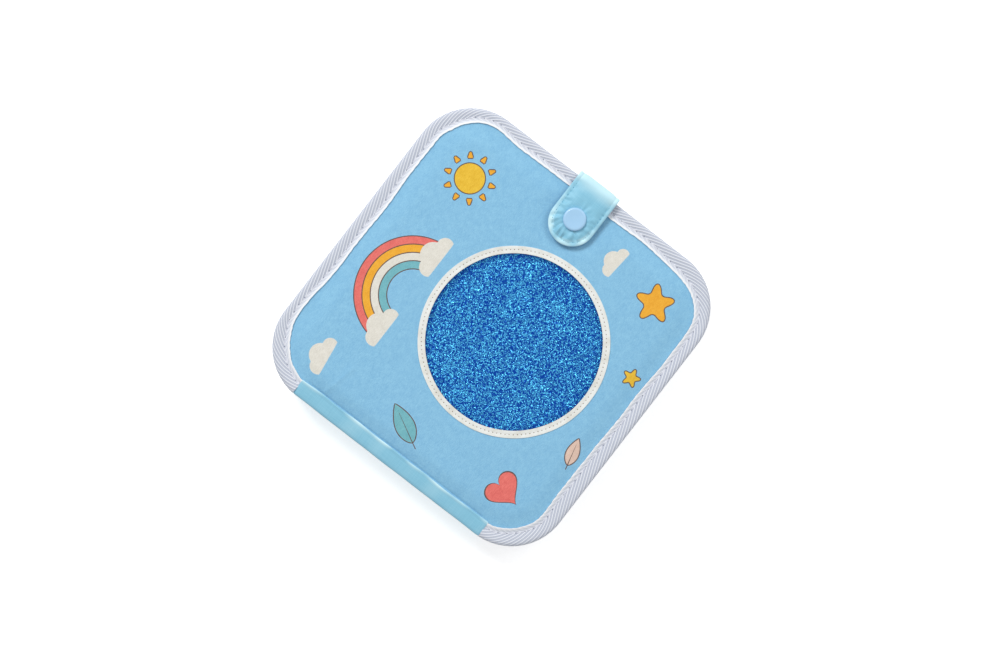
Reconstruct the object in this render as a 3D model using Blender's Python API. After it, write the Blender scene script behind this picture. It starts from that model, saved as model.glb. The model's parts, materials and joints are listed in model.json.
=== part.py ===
"""A cloth quiet book, closed, lying on its back cover with its front cover up.

Every leaf is two felts with wadding between them and a woven tape folded over its edge. The leaves are
sewn to a band of cloth along the spine. A strap from the back cover folds over the fore edge and snaps on
to the front cover. X runs from the spine to the fore edge, Y up the page and Z through the book. The origin
is at the middle of the bottom of the whole object's box. Lengths are in metres.
"""

import math

import bmesh
import bpy

# Leaves
PAGE_WIDTH = 0.200
PAGE_HEIGHT = 0.200
CORNER_RADIUS = 0.035
INNER_PAGES = 3
FELT_THICKNESS = 0.0009
WADDING_THICKNESS = 0.0010
LEAF_GAP = 0.0003

# One running clearance between sewn layers, and round what passes through them
CLEARANCE = 0.0003
CUTTER_OVERRUN = 0.0020

# Edge tape
TAPE_THICKNESS = 0.0005
TAPE_LIP_WIDTH = 0.0100
FOLD_RADIUS = 0.0012

# Spine band
BAND_THICKNESS = 0.0005
BAND_LAP_WIDTH = 0.0100
BAND_RUN_INTO_CORNER = 0.00225
SPINE_AXIS_STANDOFF = 0.00015

# Window in the front cover
WINDOW_RADIUS = 0.0510
WINDOW_CENTRE_X = 0.0011
WINDOW_CENTRE_Y = -0.0155
RING_WIDTH = 0.00435
RING_THICKNESS = 0.0005

# Touch patches on the inner pages
PATCH_RADIUS = 0.0440
PATCH_THICKNESS = 0.0005
PATCH_POWERS = (2.0, 4.0, 2.6)

# Strap
STRAP_WIDTH = 0.0280
STRAP_REACH = 0.0380
STRAP_CLOTH_THICKNESS = 0.0006
STRAP_STANDOFF = 0.0016
STRAP_SEAM_DEPTH = 0.0120
CREASE_GAP = 0.0003

# Snap fastener
SNAP_INSET = 0.0220
SNAP_CAP_RADIUS = 0.00675
SNAP_CAP_HEIGHT = 0.0016
SNAP_CAP_RIM_HEIGHT = 0.0006
SNAP_PIN_RADIUS = 0.0010
SNAP_RIVET_RADIUS = 0.0018
SNAP_RIVET_HEIGHT = 0.0005
SNAP_PLATE_THICKNESS = 0.0005
SNAP_SOCKET_RADIUS = 0.0057
SNAP_STUD_RADIUS = 0.0052
SNAP_BOSS_RADIUS = 0.0028
SNAP_BOSS_HEIGHT = 0.0011
SNAP_BACK_RADIUS = 0.0062
SNAP_BACK_HEIGHT = 0.0009

# Facets
CORNER_STEPS = 8
FOLD_STEPS = 2
WINDOW_SIDES = 64
PATCH_SIDES = 56
SNAP_SIDES = 32
STRAP_END_STEPS = 16
DOME_STEPS = 4
SHARP_EDGE_DEGREES = 30

# Colours, linear red, green and blue, and roughness
FELT_BLUE = ((0.262, 0.578, 0.823), 0.95)
LINING_BLUE = ((0.30, 0.62, 0.84), 0.95)
PAGE_FELTS = (((0.80, 0.62, 0.30), 0.95), ((0.36, 0.66, 0.42), 0.95), ((0.72, 0.40, 0.42), 0.95))
PAGE_PATCHES = (((0.86, 0.82, 0.74), 0.9), ((0.70, 0.30, 0.16), 0.8), ((0.30, 0.34, 0.70), 0.7))
WADDING_WHITE = ((0.86, 0.86, 0.84), 0.98)
TAPE_WHITE = ((0.80, 0.81, 0.88), 0.8)
BAND_AQUA = ((0.235, 0.604, 0.791), 0.55)
RING_CREAM = ((0.87, 0.85, 0.78), 0.7)
GLITTER_BLUE = ((0.010, 0.110, 0.480), 0.35)
SNAP_BLUE = ((0.375, 0.604, 0.862), 0.25)

# Heights of the layers above the underside of one leaf
BACK_FELT_BASE = TAPE_THICKNESS + CLEARANCE
WADDING_BASE = BACK_FELT_BASE + FELT_THICKNESS + CLEARANCE
FRONT_FELT_BASE = WADDING_BASE + WADDING_THICKNESS + CLEARANCE
FRONT_FELT_TOP = FRONT_FELT_BASE + FELT_THICKNESS
LEAF_THICKNESS = FRONT_FELT_TOP + CLEARANCE + TAPE_THICKNESS
LEAF_PITCH = LEAF_THICKNESS + LEAF_GAP
COVER_BASE = (INNER_PAGES + 1) * LEAF_PITCH
BOOK_THICKNESS = COVER_BASE + LEAF_THICKNESS
COVER_FELT_TOP = COVER_BASE + FRONT_FELT_TOP

# The strap overhangs the fore edge, so the book stands a little towards the spine of the box's middle
STRAP_THICKNESS = 2 * STRAP_CLOTH_THICKNESS + CLEARANCE
STRAP_OVERHANG = STRAP_STANDOFF + STRAP_THICKNESS
BOOK_X = -STRAP_OVERHANG / 2
SPINE_X = BOOK_X - PAGE_WIDTH / 2
FORE_X = BOOK_X + PAGE_WIDTH / 2
STRAP_OUTER_X = FORE_X + STRAP_OVERHANG
SPINE_AXIS = (SPINE_X - SPINE_AXIS_STANDOFF, 0, BOOK_THICKNESS / 2)
BAND_HALF_LENGTH = PAGE_HEIGHT / 2 - CORNER_RADIUS + BAND_RUN_INTO_CORNER
FELT_INSET = TAPE_THICKNESS + CLEARANCE

# Heights of the snap's pieces, upwards from the front cover's felt
SNAP_HOLE_RADIUS = SNAP_PIN_RADIUS + CLEARANCE
SNAP_WELL_RADIUS = SNAP_RIVET_RADIUS + CLEARANCE
SNAP_BORE_RADIUS = SNAP_BOSS_RADIUS + CLEARANCE
STUD_BASE = COVER_FELT_TOP + CLEARANCE
STUD_FLANGE_TOP = STUD_BASE + SNAP_PLATE_THICKNESS
BOSS_TOP = STUD_FLANGE_TOP + SNAP_BOSS_HEIGHT
SOCKET_BASE = STUD_FLANGE_TOP + CLEARANCE
CAP_RIVET_BASE = BOSS_TOP + CLEARANCE
SOCKET_ROOF = CAP_RIVET_BASE + SNAP_RIVET_HEIGHT + CLEARANCE
SOCKET_TOP = SOCKET_ROOF + SNAP_PLATE_THICKNESS
TAB_BASE = SOCKET_TOP + CLEARANCE
TAB_CLOTH_BASE = TAB_BASE + STRAP_CLOTH_THICKNESS + CLEARANCE
TAB_TOP = TAB_BASE + STRAP_THICKNESS
CAP_BASE = TAB_TOP + CLEARANCE
SNAP_X = FORE_X - SNAP_INSET
STRAP_BASE_TOP = WADDING_BASE + WADDING_THICKNESS


def clear_scene():
    """Removes every object that is already in the file."""
    for obj in list(bpy.data.objects):
        bpy.data.objects.remove(obj, do_unlink=True)


def make_material(name, finish):
    """A plain material from a colour and a roughness."""
    colour, roughness = finish
    material = bpy.data.materials.new(name)
    material.use_nodes = True
    shader = material.node_tree.nodes["Principled BSDF"]
    shader.inputs["Base Color"].default_value = (*colour, 1)
    shader.inputs["Roughness"].default_value = roughness
    shader.inputs["Metallic"].default_value = 0
    return material


def add_object(name, shape, finish, carrier=None):
    """Puts a finished bmesh in the scene as a named object that moves with its carrier."""
    bmesh.ops.recalc_face_normals(shape, faces=shape.faces[:])
    mesh = bpy.data.meshes.new(name)
    shape.to_mesh(mesh)
    shape.free()
    mesh.shade_smooth()
    mesh.set_sharp_from_angle(angle=math.radians(SHARP_EDGE_DEGREES))
    obj = bpy.data.objects.new(name, mesh)
    bpy.context.scene.collection.objects.link(obj)
    if finish:
        mesh.materials.append(make_material(name, finish))
    if carrier:
        obj.parent = carrier
        obj.matrix_parent_inverse = carrier.matrix_world.inverted()
    return obj


def add_axis(name, place, carrier=None):
    """An empty on a joint's axis, which carries the pieces that turn about it."""
    empty = bpy.data.objects.new(name, None)
    bpy.context.scene.collection.objects.link(empty)
    empty.location = place
    bpy.context.view_layer.update()
    if carrier:
        empty.parent = carrier
        empty.matrix_parent_inverse = carrier.matrix_world.inverted()
        bpy.context.view_layer.update()
    return empty


def plate(outline, base, top):
    """A flat piece: an outline in X and Y, thick in Z."""
    shape = bmesh.new()
    lower = [shape.verts.new((x, y, base)) for x, y in outline]
    upper = [shape.verts.new((x, y, top)) for x, y in outline]
    shape.faces.new(lower)
    shape.faces.new(upper)
    for i in range(len(outline)):
        j = (i + 1) % len(outline)
        shape.faces.new((lower[i], lower[j], upper[j], upper[i]))
    return shape


def strip(profile, half_length):
    """A piece of one profile in X and Z, run along Y."""
    shape = bmesh.new()
    near = [shape.verts.new((x, -half_length, z)) for x, z in profile]
    far = [shape.verts.new((x, half_length, z)) for x, z in profile]
    shape.faces.new(near)
    shape.faces.new(far)
    for i in range(len(profile)):
        j = (i + 1) % len(profile)
        shape.faces.new((near[i], near[j], far[j], far[i]))
    return shape


def turned(profile, centre, sides):
    """A closed profile of radius and height, turned about an upright axis."""
    shape = bmesh.new()
    rings = []
    for radius, height in profile:
        count = sides if radius else 1
        turns = [2 * math.pi * i / count for i in range(count)]
        rings.append([
            shape.verts.new((centre[0] + radius * math.cos(a), centre[1] + radius * math.sin(a), height))
            for a in turns
        ])
    for k, ring in enumerate(rings):
        other = rings[(k + 1) % len(rings)]
        for i in range(sides):
            j = (i + 1) % sides
            corners = [ring[i % len(ring)], ring[j % len(ring)], other[j % len(other)], other[i % len(other)]]
            corners = [v for n, v in enumerate(corners) if v not in corners[:n]]
            if len(corners) > 2:
                shape.faces.new(corners)
    return shape


def box(low, high):
    """A box between two corners."""
    outline = [(low[0], low[1]), (high[0], low[1]), (high[0], high[1]), (low[0], high[1])]
    return plate(outline, low[2], high[2])


def disc_outline(radius, centre, sides, power=2.0):
    """A round outline, squarer as the power goes up."""
    points = []
    for i in range(sides):
        c, s = math.cos(2 * math.pi * i / sides), math.sin(2 * math.pi * i / sides)
        reach = radius / (abs(c) ** power + abs(s) ** power) ** (1 / power)
        points.append((centre[0] + reach * c, centre[1] + reach * s))
    return points


def cut(obj, cutter_shape, label):
    """Cuts a hidden cutter out of an object."""
    cutter = add_object(f"{obj.name}_{label}", cutter_shape, None)
    cutter.hide_render = True
    cutter.display_type = "WIRE"
    boolean = obj.modifiers.new(label, "BOOLEAN")
    boolean.operation = "DIFFERENCE"
    boolean.solver = "EXACT"
    boolean.object = cutter


def cut_round_hole(obj, radius, centre, base, top, label, sides):
    """Cuts an upright round hole right through a flat piece."""
    outline = disc_outline(radius, centre, sides)
    cut(obj, plate(outline, base - CUTTER_OVERRUN, top + CUTTER_OVERRUN), label)


def leaf_outline(inset):
    """The leaf's outline with its round corners, drawn in by an inset."""
    half_width = PAGE_WIDTH / 2 - CORNER_RADIUS
    half_height = PAGE_HEIGHT / 2 - CORNER_RADIUS
    radius = CORNER_RADIUS - inset
    points = []
    for quarter, (side_x, side_y) in enumerate(((1, 1), (-1, 1), (-1, -1), (1, -1))):
        for step in range(CORNER_STEPS + 1):
            angle = math.pi / 2 * (quarter + step / CORNER_STEPS)
            x = BOOK_X + side_x * half_width + radius * math.cos(angle)
            points.append((x, side_y * half_height + radius * math.sin(angle)))
    return points


def fold_arc(radius, start):
    """A quarter turn of a fold, as offsets from the fold's centre."""
    angles = [start - math.pi / 2 * step / FOLD_STEPS for step in range(FOLD_STEPS + 1)]
    return [(radius * math.cos(a), radius * math.sin(a)) for a in angles]


def tape_profile(base):
    """The folded tape's section, as distances in from the leaf's outline and heights."""
    top = base + LEAF_THICKNESS
    inner = FOLD_RADIUS - TAPE_THICKNESS
    outside = [(TAPE_LIP_WIDTH, base)]
    outside += [(FOLD_RADIUS + x, base + FOLD_RADIUS + z) for x, z in fold_arc(FOLD_RADIUS, -math.pi / 2)]
    outside += [(FOLD_RADIUS + x, top - FOLD_RADIUS + z) for x, z in fold_arc(FOLD_RADIUS, math.pi)]
    outside += [(TAPE_LIP_WIDTH, top), (TAPE_LIP_WIDTH, top - TAPE_THICKNESS)]
    inside = [(FOLD_RADIUS + x, top - FOLD_RADIUS + z) for x, z in reversed(fold_arc(inner, math.pi))]
    inside += [(FOLD_RADIUS + x, base + FOLD_RADIUS + z) for x, z in reversed(fold_arc(inner, -math.pi / 2))]
    return outside + inside + [(TAPE_LIP_WIDTH, base + TAPE_THICKNESS)]


def tape_section(profile, corner, angle):
    """The tape's section at one angle of a corner whose centre is given."""
    return [
        (
            corner[0] + (CORNER_RADIUS - inset) * math.cos(angle),
            corner[1] + (CORNER_RADIUS - inset) * math.sin(angle),
            z,
        )
        for inset, z in profile
    ]


def binding(base):
    """The tape round one leaf: from the spine band's one end, round four corners, to its other end."""
    profile = tape_profile(base)
    half_width = PAGE_WIDTH / 2 - CORNER_RADIUS
    half_height = PAGE_HEIGHT / 2 - CORNER_RADIUS
    spine_corner = (BOOK_X - half_width, half_height)
    fore_corner = (BOOK_X + half_width, half_height)
    rise = BAND_HALF_LENGTH + CLEARANCE - half_height
    first = [
        (spine_corner[0] - math.sqrt((CORNER_RADIUS - inset) ** 2 - rise ** 2), half_height + rise, z)
        for inset, z in profile
    ]
    run_in = math.asin(rise / (CORNER_RADIUS - TAPE_LIP_WIDTH))
    upper = [first]
    for step in range(1, CORNER_STEPS + 1):
        angle = math.pi - run_in - (math.pi / 2 - run_in) * step / CORNER_STEPS
        upper.append(tape_section(profile, spine_corner, angle))
    for step in range(CORNER_STEPS + 1):
        angle = math.pi / 2 * (1 - step / CORNER_STEPS)
        upper.append(tape_section(profile, fore_corner, angle))
    lower = [[(x, -y, z) for x, y, z in section] for section in reversed(upper)]
    shape = bmesh.new()
    rings = [[shape.verts.new(point) for point in section] for section in upper + lower]
    for ring, following in zip(rings, rings[1:]):
        for i in range(len(ring)):
            j = (i + 1) % len(ring)
            shape.faces.new((ring[i], ring[j], following[j], following[i]))
    shape.faces.new(rings[0])
    shape.faces.new(rings[-1])
    return shape


def cover_band_profile(base, lap_on_top):
    """The spine band's section on a cover: its stretch of the spine and its lap on the cover's outside."""
    top = base + LEAF_THICKNESS
    inner = FOLD_RADIUS - BAND_THICKNESS
    fold_x = SPINE_X + FOLD_RADIUS
    outer_fold = [(fold_x + x, top - FOLD_RADIUS + z) for x, z in fold_arc(FOLD_RADIUS, math.pi)]
    inner_fold = [(fold_x + x, top - FOLD_RADIUS + z) for x, z in reversed(fold_arc(inner, math.pi))]
    lap_x = SPINE_X + BAND_LAP_WIDTH
    points = [(SPINE_X, base)] + outer_fold + [(lap_x, top), (lap_x, top - BAND_THICKNESS)]
    points += inner_fold + [(SPINE_X + BAND_THICKNESS, base)]
    if not lap_on_top:
        points = [(x, base + top - z) for x, z in points]
    return points


def make_leaf(name, base, carrier, felt_names, felt_finishes):
    """Two felts, their wadding and the tape round them. The back felt's name and finish come first."""
    outline = leaf_outline(FELT_INSET)
    layers = (
        (felt_names[0], BACK_FELT_BASE, FELT_THICKNESS, felt_finishes[0]),
        ("wadding", WADDING_BASE, WADDING_THICKNESS, WADDING_WHITE),
        (felt_names[1], FRONT_FELT_BASE, FELT_THICKNESS, felt_finishes[1]),
    )
    pieces = {}
    for layer, rise, thickness, finish in layers:
        low = base + rise
        pieces[layer] = add_object(f"{name}_{layer}", plate(outline, low, low + thickness), finish, carrier)
    pieces["binding"] = add_object(f"{name}_binding", binding(base), TAPE_WHITE, carrier)
    return pieces


def make_back_cover():
    """The back cover, which stays still, with the strap's base sewn into its fore edge."""
    pieces = make_leaf("back_cover", 0, None, ("felt", "lining"), (FELT_BLUE, LINING_BLUE))
    add_object(
        "back_cover_spine_band", strip(cover_band_profile(0, False), BAND_HALF_LENGTH), BAND_AQUA
    )
    seam_x = FORE_X - STRAP_SEAM_DEPTH
    base_low = (seam_x, -STRAP_WIDTH / 2, WADDING_BASE)
    base_high = (STRAP_OUTER_X, STRAP_WIDTH / 2, STRAP_BASE_TOP)
    add_object("strap_base", box(base_low, base_high), BAND_AQUA)
    slot_low = (seam_x - CLEARANCE, base_low[1] - CLEARANCE, base_low[2] - CLEARANCE)
    slot_high = (STRAP_OUTER_X + CUTTER_OVERRUN, base_high[1] + CLEARANCE, base_high[2] + CLEARANCE)
    cut(pieces["binding"], box(slot_low, slot_high), "strap_slot")
    cut(pieces["wadding"], box(slot_low, slot_high), "strap_notch")


def make_inner_page(number, base, carrier, finish, patch_finish, power):
    """One inner leaf with its stretch of the spine band and a touch patch on each face."""
    name = f"page_{number}"
    make_leaf(name, base, carrier, ("back_felt", "front_felt"), (finish, finish))
    band_low = (SPINE_X, -BAND_HALF_LENGTH, base)
    band_high = (SPINE_X + BAND_THICKNESS, BAND_HALF_LENGTH, base + LEAF_THICKNESS)
    add_object(f"{name}_spine_band", box(band_low, band_high), BAND_AQUA, carrier)
    outline = disc_outline(PATCH_RADIUS, (BOOK_X, 0), PATCH_SIDES, power)
    under = base + BACK_FELT_BASE - CLEARANCE
    over = base + FRONT_FELT_TOP + CLEARANCE
    add_object(f"{name}_back_patch", plate(outline, under - PATCH_THICKNESS, under), patch_finish, carrier)
    add_object(f"{name}_front_patch", plate(outline, over, over + PATCH_THICKNESS), patch_finish, carrier)


def make_front_cover(carrier):
    """The front cover with its window, its lap of the spine band and the snap's stud."""
    names, finishes = ("lining", "felt"), (LINING_BLUE, FELT_BLUE)
    pieces = make_leaf("front_cover", COVER_BASE, carrier, names, finishes)
    band = strip(cover_band_profile(COVER_BASE, True), BAND_HALF_LENGTH)
    add_object("front_cover_spine_band", band, BAND_AQUA, carrier)

    window = (BOOK_X + WINDOW_CENTRE_X, WINDOW_CENTRE_Y)
    window_hole = WINDOW_RADIUS + CLEARANCE
    outer_radius = WINDOW_RADIUS + RING_WIDTH
    ring_base = COVER_FELT_TOP + CLEARANCE
    ring_top = ring_base + RING_THICKNESS
    ring = [
        (WINDOW_RADIUS, ring_base),
        (outer_radius, ring_base),
        (outer_radius, ring_top),
        (WINDOW_RADIUS, ring_top),
    ]
    add_object("window_ring", turned(ring, window, WINDOW_SIDES), RING_CREAM, carrier)
    core = COVER_BASE + WADDING_BASE
    core_top = core + WADDING_THICKNESS
    patch = plate(disc_outline(outer_radius, window, WINDOW_SIDES), core, core_top)
    add_object("window_glitter_cloth", patch, GLITTER_BLUE, carrier)
    felt, wadding = pieces["felt"], pieces["wadding"]
    felt_base = COVER_BASE + FRONT_FELT_BASE
    cut_round_hole(felt, window_hole, window, felt_base, COVER_FELT_TOP, "window", WINDOW_SIDES)
    cut_round_hole(wadding, outer_radius + CLEARANCE, window, core, core_top, "window", WINDOW_SIDES)

    snap = (SNAP_X, 0)
    cut_round_hole(felt, SNAP_HOLE_RADIUS, snap, felt_base, COVER_FELT_TOP, "pin_hole", SNAP_SIDES)
    cut_round_hole(wadding, SNAP_BACK_RADIUS + CLEARANCE, snap, core, core_top, "snap_hole", SNAP_SIDES)
    make_snap_stud(snap, felt_base - CLEARANCE, carrier)


def make_snap_stud(centre, back_top, carrier):
    """The stud on the cover's face, and the cap inside the cover whose pin is riveted over in it."""
    stud = [
        (SNAP_HOLE_RADIUS, STUD_BASE),
        (SNAP_STUD_RADIUS, STUD_BASE),
        (SNAP_STUD_RADIUS, STUD_FLANGE_TOP),
        (SNAP_BOSS_RADIUS, STUD_FLANGE_TOP),
        (SNAP_BOSS_RADIUS, BOSS_TOP),
        (SNAP_WELL_RADIUS, BOSS_TOP),
        (SNAP_WELL_RADIUS, STUD_FLANGE_TOP),
        (SNAP_HOLE_RADIUS, STUD_FLANGE_TOP),
    ]
    add_object("snap_stud", turned(stud, centre, SNAP_SIDES), SNAP_BLUE, carrier)
    rivet_base = STUD_FLANGE_TOP + CLEARANCE
    rivet_top = rivet_base + SNAP_RIVET_HEIGHT
    back = [
        (0, back_top - SNAP_BACK_HEIGHT),
        (SNAP_BACK_RADIUS, back_top - SNAP_BACK_HEIGHT),
        (SNAP_BACK_RADIUS, back_top),
        (SNAP_PIN_RADIUS, back_top),
        (SNAP_PIN_RADIUS, rivet_base),
        (SNAP_RIVET_RADIUS, rivet_base),
        (SNAP_RIVET_RADIUS, rivet_top),
        (0, rivet_top),
    ]
    add_object("snap_stud_cap", turned(back, centre, SNAP_SIDES), SNAP_BLUE, carrier)


def make_snap_cap(centre, carrier):
    """The cap that shows on the strap, riveted over in the socket under it."""
    dome = []
    for step in range(DOME_STEPS + 1):
        angle = math.pi / 2 * (1 - step / DOME_STEPS)
        height = SNAP_CAP_RIM_HEIGHT + (SNAP_CAP_HEIGHT - SNAP_CAP_RIM_HEIGHT) * math.sin(angle)
        radius = SNAP_CAP_RADIUS * math.cos(angle) if step else 0
        dome.append((radius, CAP_BASE + height))
    rivet_top = CAP_RIVET_BASE + SNAP_RIVET_HEIGHT
    cap = dome + [
        (SNAP_CAP_RADIUS, CAP_BASE),
        (SNAP_PIN_RADIUS, CAP_BASE),
        (SNAP_PIN_RADIUS, rivet_top),
        (SNAP_RIVET_RADIUS, rivet_top),
        (SNAP_RIVET_RADIUS, CAP_RIVET_BASE),
        (0, CAP_RIVET_BASE),
    ]
    add_object("snap_cap", turned(cap, centre, SNAP_SIDES), SNAP_BLUE, carrier)
    socket = [
        (SNAP_HOLE_RADIUS, SOCKET_TOP),
        (SNAP_SOCKET_RADIUS, SOCKET_TOP),
        (SNAP_SOCKET_RADIUS, SOCKET_BASE),
        (SNAP_BORE_RADIUS, SOCKET_BASE),
        (SNAP_BORE_RADIUS, SOCKET_ROOF),
        (SNAP_HOLE_RADIUS, SOCKET_ROOF),
    ]
    add_object("snap_socket", turned(socket, centre, SNAP_SIDES), SNAP_BLUE, carrier)


def tab_outline():
    """The strap's tab seen from above: straight from the fold, with a round end."""
    radius = STRAP_WIDTH / 2
    centre_x = FORE_X - STRAP_REACH + radius
    points = [(STRAP_OUTER_X, -radius), (STRAP_OUTER_X, radius)]
    for step in range(STRAP_END_STEPS + 1):
        angle = math.pi / 2 + math.pi * step / STRAP_END_STEPS
        points.append((centre_x + radius * math.cos(angle), radius * math.sin(angle)))
    return points


def make_strap(side_axis, tab_axis):
    """The strap's side stretch and its tab, each of cloth and lining, and the snap's cap and socket."""
    half = STRAP_WIDTH / 2
    low_z, high_z = STRAP_BASE_TOP + CREASE_GAP, TAB_BASE - CREASE_GAP
    cloth_x = STRAP_OUTER_X - STRAP_CLOTH_THICKNESS
    lining_x = STRAP_OUTER_X - STRAP_THICKNESS
    cloth = box((cloth_x, -half, low_z), (STRAP_OUTER_X, half, high_z))
    add_object("strap_side_cloth", cloth, BAND_AQUA, side_axis)
    lining = box((lining_x, -half, low_z), (lining_x + STRAP_CLOTH_THICKNESS, half, high_z))
    add_object("strap_side_lining", lining, BAND_AQUA, side_axis)

    snap = (SNAP_X, 0)
    outline = tab_outline()
    tab_layers = (("strap_tab_lining", TAB_BASE), ("strap_tab_cloth", TAB_CLOTH_BASE))
    for name, base in tab_layers:
        top = base + STRAP_CLOTH_THICKNESS
        layer = add_object(name, plate(outline, base, top), BAND_AQUA, tab_axis)
        cut_round_hole(layer, SNAP_HOLE_RADIUS, snap, base, top, "pin_hole", SNAP_SIDES)
    make_snap_cap(snap, tab_axis)


def build():
    """Makes the whole book, from the back cover up."""
    clear_scene()
    make_back_cover()
    carrier = None
    for number in range(INNER_PAGES, 0, -1):
        carrier = add_axis(f"page_{number}_axis", SPINE_AXIS, carrier)
        base = (INNER_PAGES + 1 - number) * LEAF_PITCH
        pick = (number - 1) % len(PAGE_FELTS)
        make_inner_page(number, base, carrier, PAGE_FELTS[pick], PAGE_PATCHES[pick], PATCH_POWERS[pick])
    make_front_cover(add_axis("front_cover_axis", SPINE_AXIS, carrier))

    crease_x = STRAP_OUTER_X + CREASE_GAP / 2
    side_axis = add_axis("strap_side_axis", (crease_x, 0, STRAP_BASE_TOP + CREASE_GAP / 2))
    tab_axis = add_axis("strap_tab_axis", (crease_x, 0, TAB_BASE - CREASE_GAP / 2), side_axis)
    make_strap(side_axis, tab_axis)


build()
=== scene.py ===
"""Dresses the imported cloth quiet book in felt, tape, glitter cloth, plastic and thread.

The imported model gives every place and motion. Each sub-assembly here is a class that measures its nodes,
builds their surfaces as closed meshes, dresses them and lets them ride on their bodies. X runs from the
spine to the fore edge, Y up the page and Z through the book. Lengths are in metres.
"""

import json
import logging
import math
from collections.abc import Callable, Iterable
from dataclasses import dataclass
from enum import Enum
from functools import cache
from typing import ClassVar

import bmesh
import bpy
import numpy as np
from mathutils import Matrix, Vector
from mathutils.geometry import delaunay_2d_cdt


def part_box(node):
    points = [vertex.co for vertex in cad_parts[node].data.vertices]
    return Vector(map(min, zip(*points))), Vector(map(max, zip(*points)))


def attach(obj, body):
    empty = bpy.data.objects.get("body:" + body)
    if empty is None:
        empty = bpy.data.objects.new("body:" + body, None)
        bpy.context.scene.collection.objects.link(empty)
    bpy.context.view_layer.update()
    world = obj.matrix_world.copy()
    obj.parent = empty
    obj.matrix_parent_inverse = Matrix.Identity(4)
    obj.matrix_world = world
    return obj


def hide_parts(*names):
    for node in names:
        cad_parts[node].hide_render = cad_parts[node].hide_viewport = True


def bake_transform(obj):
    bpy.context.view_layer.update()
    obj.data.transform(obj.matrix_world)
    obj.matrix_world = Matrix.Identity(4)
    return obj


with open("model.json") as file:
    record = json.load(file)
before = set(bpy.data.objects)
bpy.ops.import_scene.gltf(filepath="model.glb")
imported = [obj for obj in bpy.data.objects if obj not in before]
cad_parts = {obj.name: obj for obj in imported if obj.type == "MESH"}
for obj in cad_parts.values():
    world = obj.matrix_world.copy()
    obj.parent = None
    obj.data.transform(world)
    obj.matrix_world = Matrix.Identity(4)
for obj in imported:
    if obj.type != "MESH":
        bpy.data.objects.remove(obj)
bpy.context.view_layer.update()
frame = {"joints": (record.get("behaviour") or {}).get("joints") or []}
LOG = logging.getLogger("quiet_book")
SHARP_EDGE = math.radians(38)
TWO_PI = 2 * math.pi
TINY = 1e-9
MATH, NOISE, RANGE = "ShaderNodeMath", "ShaderNodeTexNoise", "ShaderNodeMapRange"

Array = np.ndarray
Height = Callable[[Array, Array], Array]
Pair = tuple[float, float]
Piece, Node, Socket, Tree = bpy.types.Object, bpy.types.Node, bpy.types.NodeSocket, bpy.types.NodeTree


def linear(code: str) -> tuple[float, float, float, float]:
    """Turns an sRGB hex colour into linear red, green, blue and alpha.

    Args:
        code: the colour as "#RRGGBB".

    Returns:
        The linear colour with an alpha of 1.
    """
    shares = [int(code[i:i + 2], 16) / 255 for i in (1, 3, 5)]
    red, green, blue = (s / 12.92 if s <= 0.04045 else ((s + 0.055) / 1.055) ** 2.4 for s in shares)
    return red, green, blue, 1.0


def add_node(tree: Tree, kind: str, inputs: dict | None = None, **settings) -> Node:
    """Adds a node with its settings, values and links.

    Args:
        tree: the tree that gets the node.
        kind: the node's type.
        inputs: a value for each named or numbered input, or the socket or the node that feeds it.
        settings: the node's own properties.

    Returns:
        The new node.
    """
    node = tree.nodes.new(kind)
    for name, value in settings.items():
        setattr(node, name, value)
    for key, value in (inputs or {}).items():
        if isinstance(value, (Node, Socket)):
            tree.links.new(value.outputs[0] if isinstance(value, Node) else value, node.inputs[key])
        else:
            node.inputs[key].default_value = value
    return node


def per_metre(length: float) -> float:
    """The scale of a noise whose features have that length."""
    return 1.0 / length


def ease(share: Array) -> Array:
    """A smooth step from 0 to 1 as the share goes from 0 to 1."""
    t = np.clip(share, 0.0, 1.0)
    return t * t * (3.0 - 2.0 * t)


def bump_at(distance: Array, width: float) -> Array:
    """A round bump of height 1 where the distance is 0."""
    return np.exp(-((distance / width) ** 2))


def turns(sides: int) -> Array:
    """Even turns of a full circle, in radians."""
    return TWO_PI * np.arange(sides) / sides


def around(centre: Pair, reach: Array | float, turn: Array) -> tuple[Array, Array]:
    """X and Y of the places that far from a centre, at some turns."""
    return centre[0] + reach * np.cos(turn), centre[1] + reach * np.sin(turn)


def circle(centre: Pair, radius: float, sides: int) -> Array:
    """A round outline."""
    return np.stack(around(centre, radius, turns(sides)), 1)


def rows_of(*grids: Array) -> Array:
    """One line for each point of some equal grids, with one column for each grid."""
    return np.stack(np.broadcast_arrays(*grids), -1).reshape(-1, len(grids))


def heights(node: str) -> Pair:
    """The lowest and the highest Z of a node."""
    low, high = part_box(node)
    return low.z, high.z


def disc(node: str) -> tuple[Pair, float]:
    """The middle of a round node, seen from above, and its radius."""
    low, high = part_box(node)
    return ((low.x + high.x) / 2, (low.y + high.y) / 2), (high.x - low.x) / 2


def linked(name: str, data: bpy.types.ID) -> Piece:
    """A new object in the scene, at the origin."""
    made = bpy.data.objects.new(name, data)
    bpy.context.scene.collection.objects.link(made)
    return made


@dataclass(frozen=True)
class Ripple:
    """The unevenness of handled cloth: a few crossing waves with a fixed seed."""

    height: float
    length: float
    seed: int
    waves: int = 6

    def __call__(self, x: Array, y: Array) -> Array:
        """The unevenness at each place, between minus and plus its height."""
        draw = np.random.default_rng(self.seed)
        total = np.zeros(np.broadcast(x, y).shape)
        for _ in range(self.waves):
            angle, phase = draw.uniform(0, TWO_PI, 2)
            number = TWO_PI / (self.length * draw.uniform(0.7, 1.6))
            total += np.sin((x * math.cos(angle) + y * math.sin(angle)) * number + phase)
        return self.height * total / self.waves


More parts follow.
